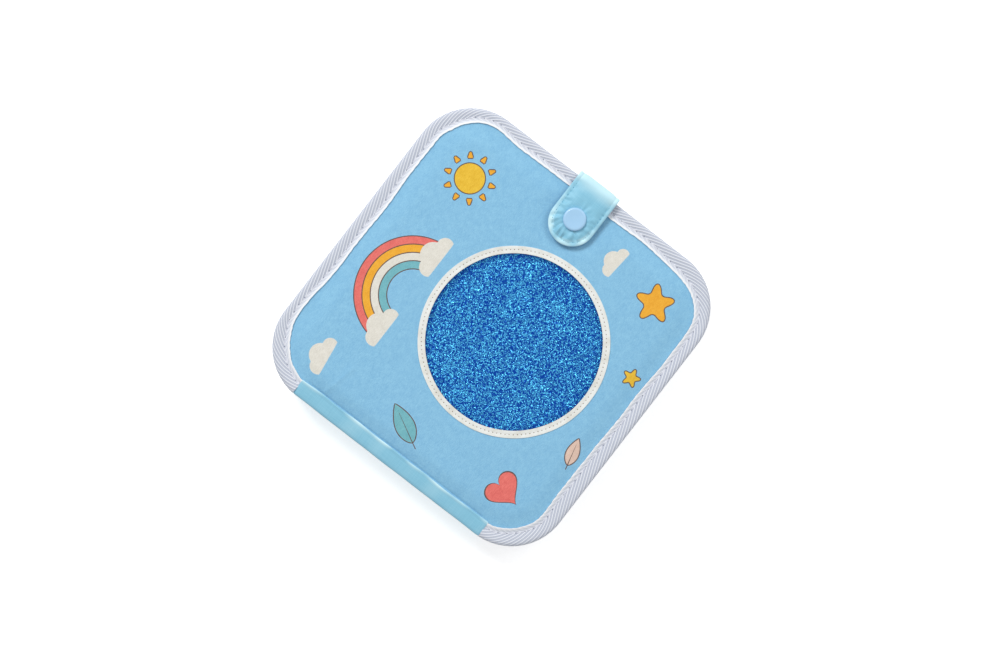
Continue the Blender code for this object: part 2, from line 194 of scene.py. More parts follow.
@dataclass(frozen=True)
class Finish:
    """What a surface is made of. Each kind adds its own pattern.

    The colour is the lit surface's and the shade its hollows', whose depth is given. A mapped finish
    follows the cloth's own map, and any other one its place in the book.
    """

    name: str
    colour: str
    shade: str
    roughness: float = 0.8
    depth: float = 0.00005
    mapped: ClassVar[bool] = False
    values: ClassVar[dict[str, float]] = {}

    @cache
    def material(self) -> bpy.types.Material:
        """The finish as a material, made once."""
        material = bpy.data.materials.new(self.name)
        material.use_nodes = True
        tree = material.node_tree
        shader = tree.nodes["Principled BSDF"]
        for name, value in {"Roughness": self.roughness, **self.values}.items():
            shader.inputs[name].default_value = value
        if self.mapped:
            place = add_node(tree, "ShaderNodeUVMap", uv_map="cloth").outputs[0]
        else:
            place = add_node(tree, "ShaderNodeTexCoord").outputs["Object"]
        colour, height = self.pattern(tree, place)
        tree.links.new(colour, shader.inputs["Base Color"])
        relief = add_node(tree, "ShaderNodeBump", {"Strength": 1.0, "Distance": self.depth, "Height": height})
        tree.links.new(relief.outputs["Normal"], shader.inputs["Normal"])
        return material

    def pattern(self, tree: Tree, place: Socket) -> tuple[Socket, Node]:
        """Adds the pattern's nodes.

        Args:
            tree: the material's tree.
            place: the coordinates that it follows.

        Returns:
            The colour, and the relief from 0 to 1.
        """
        raise NotImplementedError

    def mixed(self, tree: Tree, share: Node) -> Socket:
        """The shade where the share is 0, and the colour where it is 1."""
        tints = {0: share, 6: linear(self.shade), 7: linear(self.colour)}
        return add_node(tree, "ShaderNodeMix", tints, data_type="RGBA").outputs[2]


@dataclass(frozen=True)
class Felt(Finish):
    """Needle-punched polyester felt: matt, with short fibres lying every way and faint blotches.

    A fibre is finer than the picture shows, so the strands here are as wide as a small bundle of them.
    """

    depth: float = 0.00022
    strand: float = 0.00042
    blotch: float = 0.0035
    values: ClassVar[dict[str, float]] = {"Sheen Weight": 0.12, "Specular IOR Level": 0.15}

    def pattern(self, tree: Tree, place: Socket) -> tuple[Socket, Node]:
        """Long strands crossing at two angles over soft blotches."""
        strands = []
        for degrees in (24, 107):
            turn = {"Vector": place, "Rotation": (0, 0, math.radians(degrees)), "Scale": (0.3, 1, 1)}
            turned = add_node(tree, "ShaderNodeMapping", turn)
            fibres = {"Vector": turned, "Scale": per_metre(self.strand), "Detail": 3.0, "Distortion": 0.6}
            strands.append(add_node(tree, NOISE, fibres))
        strand = add_node(tree, MATH, {0: strands[0], 1: strands[1]}, operation="MAXIMUM")
        blotch = add_node(tree, NOISE, {"Vector": place, "Scale": per_metre(self.blotch), "Detail": 4.0})
        both = add_node(tree, MATH, {0: blotch, 1: 0.4, 2: strand}, operation="MULTIPLY_ADD")
        share = add_node(tree, RANGE, {"Value": both, "From Min": 0.58, "From Max": 0.94})
        return self.mixed(tree, share), strand


@dataclass(frozen=True)
class Twill(Finish):
    """White herringbone twill tape of spun polyester: long slanting ribs, with painted shade in the grooves
    between them.

    Its map gives the run along the tape and the way across it. The selvedge's ribs slant the other way.
    """

    depth: float = 0.00016
    # The colour of the painted highlight along each lip's curled edge.
    edge: str = "#FCFDFF"
    rib: float = 0.00437
    slant: float = math.radians(22)
    selvedge: float = 0.0030
    width: float = 0.0232
    yarn: float = 0.00055
    mapped: ClassVar[bool] = True
    values: ClassVar[dict[str, float]] = {"Sheen Weight": 0.1, "Specular IOR Level": 0.25}

    def pattern(self, tree: Tree, place: Socket) -> tuple[Socket, Node]:
        """Ribs from the tape's map with painted shade between them, yarns, a paler selvedge and a painted
        highlight at its rim.
        """
        half, turn_back = self.width / 2, self.width / 2 - self.selvedge
        axes = add_node(tree, "ShaderNodeSeparateXYZ", {0: place})
        middle = add_node(tree, MATH, {0: axes.outputs[1], 1: half}, operation="SUBTRACT")
        off = add_node(tree, MATH, {0: middle}, operation="ABSOLUTE")
        limits = {"From Min": turn_back - 0.0001, "From Max": turn_back + 0.0001}
        in_selvedge = add_node(tree, RANGE, {"Value": off, **limits})
        past = add_node(tree, MATH, {0: off, 1: turn_back}, operation="SUBTRACT")
        beyond = add_node(tree, MATH, {0: past, 1: 0.0}, operation="MAXIMUM")
        sign = add_node(tree, MATH, {0: middle}, operation="SIGN")
        back = add_node(tree, MATH, {0: beyond, 1: sign}, operation="MULTIPLY")
        across = add_node(tree, MATH, {0: back, 1: -2.0, 2: middle}, operation="MULTIPLY_ADD")
        slide = {0: across, 1: -1 / math.tan(self.slant), 2: axes}
        along = add_node(tree, MATH, slide, operation="MULTIPLY_ADD")
        phase = add_node(tree, MATH, {0: along, 1: TWO_PI / self.rib}, operation="MULTIPLY")
        wave = add_node(tree, MATH, {0: phase}, operation="COSINE")
        twice = add_node(tree, MATH, {0: phase, 1: 2.0}, operation="MULTIPLY")
        second = add_node(tree, MATH, {0: twice}, operation="COSINE")
        pair = add_node(tree, MATH, {0: second, 1: 0.55, 2: wave}, operation="MULTIPLY_ADD")
        # The grey lines between the ribs are painted shade in their grooves.
        ridge = add_node(tree, RANGE, {"Value": pair, "From Min": -1.1, "From Max": 0.75})
        plain = add_node(tree, RANGE, {"Value": in_selvedge, "To Min": 0.0, "To Max": 0.6})
        ribs = add_node(tree, MATH, {0: ridge, 1: plain}, operation="MAXIMUM")
        # A painted highlight along each lip's curled edge.
        limits = {"From Min": half - 0.0016, "From Max": half - 0.0006, "To Max": 0.9}
        rim = add_node(tree, RANGE, {"Value": off, **limits})
        yarn = add_node(tree, NOISE, {"Vector": place, "Scale": per_metre(self.yarn), "Detail": 2.0})
        rough = add_node(tree, MATH, {0: yarn, 1: 0.5, 2: -0.25}, operation="MULTIPLY_ADD")
        share = add_node(tree, MATH, {0: ribs, 1: rough}, operation="ADD")
        dyed = self.mixed(tree, add_node(tree, "ShaderNodeClamp", {0: share}))
        bright = add_node(tree, "ShaderNodeMix", {0: rim, 6: dyed, 7: linear(self.edge)}, data_type="RGBA")
        return bright.outputs[2], share


@dataclass(frozen=True)
class PlainCloth(Finish):
    """Smooth woven polyester, calendered so that it has a slight sheen.

    The weave is a thread count finer than the picture shows, so it is drawn at the size given.
    """

    depth: float = 0.00003
    thread: float = 0.00042
    # The paler colour of the painted highlight on folds and hems, and of uneven wear.
    pale: str = "#CDF1FA"
    mapped: ClassVar[bool] = True
    values: ClassVar[dict[str, float]] = {
        "Sheen Weight": 0.8, "Sheen Roughness": 0.3, "Specular IOR Level": 0.4,
    }

    def pattern(self, tree: Tree, place: Socket) -> tuple[Socket, Node]:
        """Crossing threads on the cloth's own map, paler with painted highlight on folds and hems, and with
        wear.
        """
        threads = []
        for scale in ((1.0, 0.04, 1.0), (0.04, 1.0, 1.0)):
            long = add_node(tree, "ShaderNodeMapping", {"Vector": place, "Scale": scale})
            fibres = {"Vector": long, "Scale": per_metre(self.thread), "Detail": 1.0}
            threads.append(add_node(tree, NOISE, fibres))
        weave = add_node(tree, MATH, {0: threads[0], 1: threads[1]}, operation="ADD")
        share = add_node(tree, RANGE, {"Value": weave, "From Min": 0.5, "From Max": 1.4})
        # A painted highlight on folds and hems, together with uneven wear, fades the cloth towards its pale
        # colour.
        worn = add_node(tree, "ShaderNodeAttribute", attribute_name="worn").outputs["Fac"]
        tints = {0: worn, 6: self.mixed(tree, share), 7: linear(self.pale)}
        return add_node(tree, "ShaderNodeMix", tints, data_type="RGBA").outputs[2], weave


@dataclass(frozen=True)
class CoatedCloth(Finish):
    """Off-white coated cloth: a soft plastic skin with a fine pebbled grain."""

    depth: float = 0.00006
    grain: float = 0.0006
    soil: float = 0.006

    def pattern(self, tree: Tree, place: Socket) -> tuple[Socket, Node]:
        """Pebbles with a little dirt between them."""
        grain = {"Vector": place, "Scale": per_metre(self.grain)}
        pebble = add_node(tree, "ShaderNodeTexVoronoi", grain, feature="F1")
        soil = add_node(tree, NOISE, {"Vector": place, "Scale": per_metre(self.soil), "Detail": 4.0})
        soiled = add_node(tree, RANGE, {"Value": soil, "From Min": 0.3, "From Max": 0.6})
        return self.mixed(tree, soiled), pebble


@dataclass(frozen=True)
class GlitterCloth(Finish):
    """Royal blue tinsel cloth: cut metallised film over a dyed base. Each sliver holds its own tint."""

    patch: float = 0.009
    grain: float = 0.0005
    values: ClassVar[dict[str, float]] = {"Metallic": 0.85}

    def pattern(self, tree: Tree, place: Socket) -> tuple[Socket, Node]:
        """The tint of each sliver, over the cloth's broad light and dark patches."""
        tint = add_node(tree, "ShaderNodeAttribute", attribute_name="tint").outputs["Fac"]
        patch = add_node(tree, NOISE, {"Vector": place, "Scale": per_metre(self.patch), "Detail": 3.0})
        share = add_node(tree, MATH, {0: patch, 1: 0.5, 2: tint}, operation="MULTIPLY_ADD")
        spread = add_node(tree, RANGE, {"Value": share, "From Min": 0.3, "From Max": 1.1})
        grain = {"Vector": place, "Scale": per_metre(self.grain)}
        return self.mixed(tree, spread), add_node(tree, NOISE, grain)


@dataclass(frozen=True)
class Grained(Finish):
    """A surface whose one grain gives its colour and relief, as the twisted strands of thread do."""

    grain: float = 0.0007
    detail: float = 2.0
    coarseness: float = 0.5
    least: float = 0.0
    most: float = 1.0

    def pattern(self, tree: Tree, place: Socket) -> tuple[Socket, Node]:
        """The grain, from its hollows to its crests."""
        size = {"Scale": per_metre(self.grain), "Detail": self.detail, "Roughness": self.coarseness}
        grain = add_node(tree, NOISE, {"Vector": place, **size})
        share = add_node(tree, RANGE, {"Value": grain, "From Min": self.least, "From Max": self.most})
        return self.mixed(tree, share), grain


@dataclass(frozen=True)
class Plastic(Grained):
    """Moulded acetal: glossy and slightly waxy, with faint flow marks from its mould."""

    depth: float = 0.00002
    grain: float = 0.004
    values: ClassVar[dict[str, float]] = {"Coat Weight": 0.2}


@dataclass(frozen=True)
class Pile(Grained):
    """Brushed polyester pile or loose wadding: soft clumps with shade between them."""

    depth: float = 0.0003
    grain: float = 0.0012
    detail: float = 5.0
    coarseness: float = 0.7
    least: float = 0.3
    most: float = 0.6
    values: ClassVar[dict[str, float]] = {"Sheen Weight": 0.3}


class Cloths:
    """The finishes of the book, each named for its real material."""

    # Felt looks dry and fibrous, with no highlight at all.
    cover = Felt("sky_blue_felt", "#96CDEB", "#83BBDF", 0.95)
    lining = Felt("pale_blue_felt", "#9AD2EE", "#86BFE2", 0.95)
    pages = {
        1: Felt("straw_yellow_felt", "#F2D98C", "#E0C26E", 0.95),
        2: Felt("leaf_green_felt", "#A9D6A2", "#8CC088", 0.95),
        3: Felt("coral_pink_felt", "#F0A8A0", "#DB8C86", 0.95),
    }
    # Twill tape shows bright ribs with painted shade in the grooves between them, and a painted highlight at
    # its white rim.
    tape = Twill("white_herringbone_tape", "#E9EDF5", "#AFB6C8", 0.85)
    # Calendered polyester is smooth with a slight sheen, paler with painted highlight on folds and hems and
    # with wear.
    aqua = PlainCloth("aqua_polyester_cloth", "#90CBE3", "#7EBDD7", 0.5)
    # Coated cloth has an even, faintly soiled skin with a soft shine.
    ring = CoatedCloth("off_white_coated_cloth", "#ECEEEA", "#DDDCD3", 0.6)
    # Tinsel glitters: each sliver is a small mirror somewhere between pale cyan and deep blue.
    glitter = GlitterCloth("royal_blue_tinsel_cloth", "#66DCFF", "#003F9C", 0.34)
    # Acetal is even, with one clear highlight on its rounded rim.
    snap = Plastic("pale_blue_acetal", "#A9D3F1", "#9FCAEE", 0.3)
    # Spun thread has a dull shine broken by its strands.
    white_thread = Grained("white_polyester_thread", "#F4F4FA", "#D9DAE8", 0.75)
    aqua_thread = Grained("aqua_polyester_thread", "#9ADBEC", "#78C0D8", 0.7)
    # A needle hole is a small dull dot, darker than the cloth round it: painted shade in the hole.
    tape_hole = Grained("needle_hole_in_tape", "#8C90A4", "#70748C", 0.95)
    ring_hole = Grained("needle_hole_in_coating", "#9E8E80", "#86756A", 0.95)
    aqua_hole = Grained("needle_hole_in_cloth", "#5FA9C6", "#4B93B4", 0.95)
    # Wadding, fleece and corduroy are soft, with shade between their clumps or tufts.
    wadding = Pile("white_polyester_wadding", "#F2F2EE", "#D8D8D2", 0.98)
    fleece = Pile("cream_fleece", "#F3EDE0", "#D8CDB8", 0.95)
    corduroy = Pile("rust_corduroy", "#D0764E", "#A5522F", 0.9, depth=0.0001, grain=0.0007)
    # Canvas shows its thick crossing yarns.
    canvas = PlainCloth("indigo_canvas", "#7C8CD0", "#56649F", 0.85, depth=0.0001, thread=0.0009)


class Ink(Enum):
    """The print's colours, dyed into the felt, so that they are as matt and fibrous as it is."""

    OUTLINE = Felt("dark_brown_ink_on_felt", "#75625C", "#614F4A", 0.95)
    CREAM = Felt("cream_ink_on_felt", "#EDEAE0", "#DDD9CE", 0.95)
    YELLOW = Felt("yellow_ink_on_felt", "#F6CC4A", "#E3B536", 0.95)
    ORANGE = Felt("orange_ink_on_felt", "#FABB45", "#EBA534", 0.95)
    CORAL = Felt("coral_ink_on_felt", "#F4837A", "#E06C66", 0.95)
    PEACH = Felt("peach_ink_on_felt", "#EFD3C2", "#DFBFAE", 0.95)
    TEAL = Felt("teal_ink_on_felt", "#83C3CB", "#6FB0BC", 0.95)


def finished(
    name: str, points: Array, faces: Iterable, finishes: Iterable[Finish], cloth: Array | None = None,
    picks: Array | None = None,
) -> Piece:
    """Makes a mesh object whose faces point outwards.

    Args:
        name: the piece's name.
        points: its vertices.
        faces: its faces, as vertex numbers.
        finishes: its materials.
        cloth: the cloth's own map, one line a vertex. A third column says how much painted highlight and wear
            pale it.
        picks: which finish each face takes.

    Returns:
        The new object, at the origin.
    """
    mesh = bpy.data.meshes.new(name)
    mesh.from_pydata(points.tolist(), [], [tuple(int(i) for i in face) for face in faces])
    work = bmesh.new()
    work.from_mesh(mesh)
    bmesh.ops.recalc_face_normals(work, faces=work.faces[:])
    work.to_mesh(mesh)
    work.free()
    for finish in finishes:
        mesh.materials.append(finish.material())
    if picks is not None:
        mesh.polygons.foreach_set("material_index", picks.astype(np.int32))
    if cloth is not None:
        corners = np.empty(len(mesh.loops), np.int32)
        mesh.loops.foreach_get("vertex_index", corners)
        on_cloth = cloth[corners, :2].astype(np.float32).ravel()
        mesh.uv_layers.new(name="cloth").uv.foreach_set("vector", on_cloth)
        if cloth.shape[1] > 2:
            worn = mesh.attributes.new("worn", "FLOAT", "POINT")
            worn.data.foreach_set("value", cloth[:, 2].astype(np.float32))
    mesh.shade_smooth()
    mesh.set_sharp_from_angle(angle=SHARP_EDGE)
    return linked(name, mesh)


def shell(
    name: str, outer: Array, inner: Array, faces: Array, finishes: Iterable[Finish], cloth: Array,
    picks: Array | None = None,
) -> Piece:
    """Closes two like surfaces into one thickness of cloth, with a rim wherever they have an edge.

    Args:
        name: the piece's name.
        outer: the vertices of the outer surface.
        inner: the vertices of the inner surface, in the same order.
        faces: the faces of one surface, all with the same number of corners.
        finishes: the piece's materials.
        cloth: the map of one surface. Only the outer one is paled by painted highlight and wear.
        picks: which finish each face of one surface takes.

    Returns:
        The new object, closed.
    """
    count = len(outer)
    sides = [np.stack([faces[:, i], np.roll(faces, -1, 1)[:, i]], 1) for i in range(faces.shape[1])]
    edges = np.concatenate(sides)
    _, first, uses = np.unique(np.sort(edges, 1), axis=0, return_index=True, return_counts=True)
    rim = edges[first[uses == 1]]
    walls = np.stack([rim[:, 1], rim[:, 0], rim[:, 0] + count, rim[:, 1] + count], 1)
    everything = [*faces.tolist(), *(faces[:, ::-1] + count).tolist(), *walls.tolist()]
    if picks is not None:
        picks = np.concatenate([picks, np.zeros(len(faces) + len(walls))])
    no_highlight_or_wear = cloth.copy()
    no_highlight_or_wear[:, 2:] = 0
    both = np.concatenate([cloth, no_highlight_or_wear])
    return finished(name, np.concatenate([outer, inner]), everything, finishes, both, picks)


def grid_faces(rows: int, columns: int, closed: bool = False) -> Array:
    """The quads of a grid of points.

    Args:
        rows: how many rows of points there are.
        columns: how many points each row has.
        closed: whether the last row joins the first.

    Returns:
        One line of four vertex numbers for each quad.
    """
    index = np.arange(rows * columns).reshape(rows, columns)
    if closed:
        index = np.concatenate([index, index[:1]])
    corners = [index[:-1, :-1], index[:-1, 1:], index[1:, 1:], index[1:, :-1]]
    return np.stack([c.ravel() for c in corners], 1)


def dress(piece: Piece, slot: str, body: str | None = None, replaces: Iterable[str] = ()) -> Piece:
    """Lets a piece ride on its body, hides the nodes that it stands for, and reports it.

    Args:
        piece: the finished piece.
        slot: the record's material slot. It is not used.
        body: the body that it rides on, or None where it rides on none.
        replaces: the nodes that it stands for.

    Returns:
        The piece.
    """
    if body:
        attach(piece, body)
    if replaces:
        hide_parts(*replaces)
    LOG.info("%s: %d faces", piece.name, len(piece.data.polygons))
    return piece


def from_geometry_nodes(carrier: Piece, tree: Tree, values: dict[str, object]) -> Piece:
    """Runs a Geometry Nodes tree on an object and keeps the result as its plain mesh.

    Args:
        carrier: the object that holds the points or the surface.
        tree: the tree.
        values: the tree's inputs, by name.

    Returns:
        The same object with its new mesh and no modifier.
    """
    modifier = carrier.modifiers.new(tree.name, "NODES")
    modifier.node_group = tree
    sockets = {item.name: item.identifier for item in tree.interface.items_tree if item.in_out == "INPUT"}
    for name, value in values.items():
        modifier[sockets[name]] = value
    bpy.context.view_layer.update()
    evaluated = carrier.evaluated_get(bpy.context.evaluated_depsgraph_get())
    mesh = bpy.data.meshes.new_from_object(evaluated)
    carrier.modifiers.remove(modifier)
    if mesh.materials[0] is None:
        mesh.materials.pop(index=0)
    carrier.data = mesh
    mesh.shade_smooth()
    return carrier


def tree_with_inputs(name: str, inputs: dict[str, str]) -> tuple[Tree, dict[str, Socket]]:
    """Starts a Geometry Nodes tree.

    Args:
        name: the tree's name.
        inputs: the type of each input after the geometry, by name.

    Returns:
        The tree and what feeds it, by name.
    """
    tree = bpy.data.node_groups.new(name, "GeometryNodeTree")
    for label, kind in {"Geometry": "Geometry", **inputs}.items():
        tree.interface.new_socket(label, in_out="INPUT", socket_type=f"NodeSocket{kind}")
    tree.interface.new_socket("Geometry", in_out="OUTPUT", socket_type="NodeSocketGeometry")
    return tree, {socket.name: socket for socket in add_node(tree, "NodeGroupInput").outputs}


@cache
def stitch_tree() -> Tree:
    """Stitches along every line of a mesh: a thread that dips at both ends, and the hole's painted shade
    after it.

    Returns:
        The tree, made once.
    """
    lengths = ("Pitch", "Length", "Thread Radius", "Hole Radius", "Hole Sink", "Middle Height")
    kinds = {**dict.fromkeys(lengths, "Float"), "Seed": "Int", "Thread": "Material", "Hole": "Material"}
    tree, given = tree_with_inputs("stitches", kinds)
    curve = add_node(tree, "GeometryNodeMeshToCurve", {"Mesh": given["Geometry"]})
    spacing = {"Curve": curve, "Length": given["Pitch"]}
    places = add_node(tree, "GeometryNodeCurveToPoints", spacing, mode="LENGTH")
    tangent = {"Vector": places.outputs["Tangent"]}
    turn = add_node(tree, "FunctionNodeAlignRotationToVector", tangent, axis="Z")
    half, step = (
        add_node(tree, MATH, {0: given[name], 1: 0.5}, operation="MULTIPLY") for name in ("Length", "Pitch")
    )
    radius = given["Thread Radius"]
    size = add_node(tree, "ShaderNodeCombineXYZ", {0: radius, 1: radius, 2: half})
    ball = add_node(tree, "GeometryNodeMeshUVSphere", {"Segments": 6, "Rings": 6, "Radius": 1.0})
    thread = add_node(tree, "GeometryNodeTransform", {"Geometry": ball, "Scale": size})
    gap = add_node(tree, "ShaderNodeCombineXYZ", {2: step})
    sphere = {"Segments": 6, "Rings": 4, "Radius": given["Hole Radius"]}
    ball = add_node(tree, "GeometryNodeMeshUVSphere", sphere)
    hole = add_node(tree, "GeometryNodeTransform", {"Geometry": ball, "Translation": gap})
    limits = {0: (0.92, 0.92, 0.94), 1: (1.08, 1.08, 1.04), "Seed": given["Seed"]}
    vary = add_node(tree, "FunctionNodeRandomValue", limits, data_type="FLOAT_VECTOR")
    here = add_node(tree, "ShaderNodeSeparateXYZ", {0: add_node(tree, "GeometryNodeInputPosition")})
    over = add_node(tree, MATH, {0: given["Middle Height"], 1: here.outputs[2]}, operation="SUBTRACT")
    side = add_node(tree, MATH, {0: over}, operation="SIGN")
    drop = add_node(tree, MATH, {0: side, 1: given["Hole Sink"]}, operation="MULTIPLY")
    sink = add_node(tree, "ShaderNodeCombineXYZ", {2: drop})
    joined = add_node(tree, "GeometryNodeJoinGeometry")
    for shape, material, offset in ((thread, "Thread", None), (hole, "Hole", sink)):
        spread = {"Points": places.outputs["Points"], "Instance": shape, "Rotation": turn, "Scale": vary}
        copies = add_node(tree, "GeometryNodeInstanceOnPoints", spread)
        real = add_node(tree, "GeometryNodeRealizeInstances", {"Geometry": copies})
        if offset:
            real = add_node(tree, "GeometryNodeSetPosition", {"Geometry": real, "Offset": offset})
        dyed = add_node(tree, "GeometryNodeSetMaterial", {"Geometry": real, "Material": given[material]})
        tree.links.new(dyed.outputs[0], joined.inputs[0])
    add_node(tree, "NodeGroupOutput", {0: joined})
    return tree


@cache
def scatter_tree() -> Tree:
    """Copies of one small shape strewn over a surface, each turned and tinted by itself.

    Returns:
        The tree, made once.
    """
    kinds = {"Density": "Float", "Tilt": "Float", "Seed": "Int", "Shape": "Object", "Cloth": "Material"}
    tree, given = tree_with_inputs("strewn_shapes", kinds)
    seed, tilt = given["Seed"], given["Tilt"]
    ground = {"Mesh": given["Geometry"], "Density": given["Density"], "Seed": seed}
    places = add_node(tree, "GeometryNodeDistributePointsOnFaces", ground)
    least = add_node(tree, MATH, {0: tilt, 1: -1.0}, operation="MULTIPLY")
    low = add_node(tree, "ShaderNodeCombineXYZ", {0: least, 1: least})
    high = add_node(tree, "ShaderNodeCombineXYZ", {0: tilt, 1: tilt, 2: TWO_PI})
    limits = {0: low, 1: high, "Seed": seed}
    spin = add_node(tree, "FunctionNodeRandomValue", limits, data_type="FLOAT_VECTOR")
    turned_by = add_node(tree, "FunctionNodeEulerToRotation", {0: spin})
    turn = {"Rotation": places.outputs["Rotation"], "Rotate By": turned_by}
    facing = add_node(tree, "FunctionNodeRotateRotation", turn, rotation_space="LOCAL")
    limits = {0: (0.7, 0.8, 0.8), 1: (1.3, 1.25, 1.2), "Seed": seed}
    vary = add_node(tree, "FunctionNodeRandomValue", limits, data_type="FLOAT_VECTOR")
    shape = add_node(tree, "GeometryNodeObjectInfo", {"Object": given["Shape"], "As Instance": True})
    spread = {
        "Points": places.outputs["Points"], "Instance": shape.outputs["Geometry"], "Rotation": facing,
        "Scale": vary,
    }
    copies = add_node(tree, "GeometryNodeInstanceOnPoints", spread)
    tint = add_node(tree, "FunctionNodeRandomValue", {"Seed": seed}, data_type="FLOAT").outputs[1]
    tints = {"Geometry": copies, "Name": "tint", "Value": tint}
    tinted = add_node(tree, "GeometryNodeStoreNamedAttribute", tints, data_type="FLOAT", domain="INSTANCE")
    real = add_node(tree, "GeometryNodeRealizeInstances", {"Geometry": tinted})
    dyed = add_node(tree, "GeometryNodeSetMaterial", {"Geometry": real, "Material": given["Cloth"]})
    add_node(tree, "NodeGroupOutput", {0: dyed})
    return tree


@dataclass(frozen=True)
class Stitching:
    """A row of lockstitches in one thread."""

    thread: Finish
    hole: Finish
    pitch: float = 0.0052
    length: float = 0.0042
    thread_radius: float = 0.00020
    hole_radius: float = 0.00040
    hole_sink: float = 0.00020
    seed: int = 3

    def sew(
        self, name: str, lines: Iterable[Array], slot: str, body: str, closed: bool = False,
        middle: float = 0.0,
    ) -> Piece:
        """Sews along lines.

        Args:
            name: the piece's name.
            lines: the points of each line, in order.
            slot: the record's material slot.
            body: the body that the stitches ride on.
            closed: whether each line comes back to its start.
            middle: the height of the cloth's middle, towards which the needle's holes sink.

        Returns:
            The dressed stitches, one plain mesh.
        """
        points, edges = [], []
        for line in lines:
            first, count = len(points), len(line)
            points += line.tolist()
            edges += [(first + i, first + i + 1) for i in range(count - 1)]
            if closed:
                edges.append((first + count - 1, first))
        mesh = bpy.data.meshes.new(name)
        mesh.from_pydata(points, edges, [])
        values = {
            "Pitch": self.pitch, "Length": self.length, "Thread Radius": self.thread_radius,
            "Hole Radius": self.hole_radius, "Hole Sink": self.hole_sink, "Middle Height": middle,
            "Seed": self.seed, "Thread": self.thread.material(), "Hole": self.hole.material(),
        }
        return dress(from_geometry_nodes(linked(name, mesh), stitch_tree(), values), slot, body)


@dataclass(frozen=True)
class Strewn:
    """Many copies of one small shape, strewn over a surface."""

    density: float
    tilt: float
    seed: int
    finish: Finish

    def over(self, ground: Piece, shape: Piece) -> Piece:
        """Strews the shape over a surface, and takes the shape itself away.

        Args:
            ground: the surface, which becomes the piece.
            shape: the shape.

        Returns:
            The copies as one plain mesh.
        """
        values = {
            "Density": self.density, "Tilt": self.tilt, "Seed": self.seed, "Shape": shape,
            "Cloth": self.finish.material(),
        }
        piece = from_geometry_nodes(ground, scatter_tree(), values)
        bpy.data.objects.remove(shape)
        return piece


@dataclass(frozen=True)
class Rim:
    """A line round the leaf: its places and the way out of the leaf at each."""

    points: Array
    normals: Array

    @property
    def run(self) -> Array:
        """How far each place is along the line."""
        steps = np.linalg.norm(np.diff(self.points, axis=0), axis=1)
        return np.concatenate([[0.0], np.cumsum(steps)])

    def at(self, run: Array) -> tuple[Array, Array]:
        """The places and the ways out at some runs."""
        known = self.run
        places, ways = (
            np.stack([np.interp(run, known, part[:, i]) for i in range(2)], -1)
            for part in (self.points, self.normals)
        )
        return places, ways

    def inside(self, off: float) -> Array:
        """The places of a whole outline, moved in that far and each named once."""
        return (self.points - self.normals * off)[:-1]


@dataclass(frozen=True)
class Outline:
    """The outline of every leaf, with its round corners, in from which all else is measured."""

    centre: float
    half_width: float
    half_height: float
    corner: float = 0.035

    @property
    def spine(self) -> float:
        """The X of the spine's outer face."""
        return self.centre - self.half_width

    def inward(self, x: Array, y: Array) -> Array:
        """How far inside the outline each place lies."""
        across = np.abs(x - self.centre) - (self.half_width - self.corner)
        up = np.abs(y) - (self.half_height - self.corner)
        outside = np.hypot(np.maximum(across, 0), np.maximum(up, 0)) + np.minimum(np.maximum(across, up), 0)
        return self.corner - outside

    def rim(self, step: float, gap_half: float | None = None) -> Rim:
        """The outline as a line, clockwise from the spine's upper end.

        Args:
            step: the way between places.
            gap_half: half the length of the spine that is left open, or None for the whole outline.

        Returns:
            The line. Where it is whole, its last place is its first one again.
        """
        across, up = self.half_width - self.corner, self.half_height - self.corner
        lead = 0.0 if gap_half is None else math.asin((gap_half - up) / self.corner)
        quarter = math.pi / 2
        corners = (
            ((-across, up), math.pi - lead, quarter),
            ((across, up), quarter, 0.0),
            ((across, -up), 0.0, -quarter),
            ((-across, -up), -quarter, lead - math.pi),
        )
        points, normals = [], []
        for (x, y), start, end in corners:
            count = max(3, round(self.corner * abs(end - start) / step))
            for angle in np.linspace(start, end, count + 1):
                way = np.array([math.cos(angle), math.sin(angle)])
                place = np.array([self.centre + x, y]) + self.corner * way
                self._add(points, normals, place, way, step)
        if gap_half is None:
            self._add(points, normals, points[0], normals[0], step)
        return Rim(np.array(points), np.array(normals))

    @staticmethod
    def _add(points: list[Array], normals: list[Array], place: Array, way: Array, step: float) -> None:
        """Adds a place to the line, after those of the straight run that leads to it.

        Args:
            points: the places so far.
            normals: the ways out so far.
            place: the new place.
            way: the way out there.
            step: the way between places.
        """
        start = points[-1] if points else place
        length = float(np.linalg.norm(place - start))
        count = max(1, round(length / step)) if length > step else 1
        points += [start + (place - start) * share for share in np.arange(1, count) / count]
        points.append(place)
        normals += [way] * count


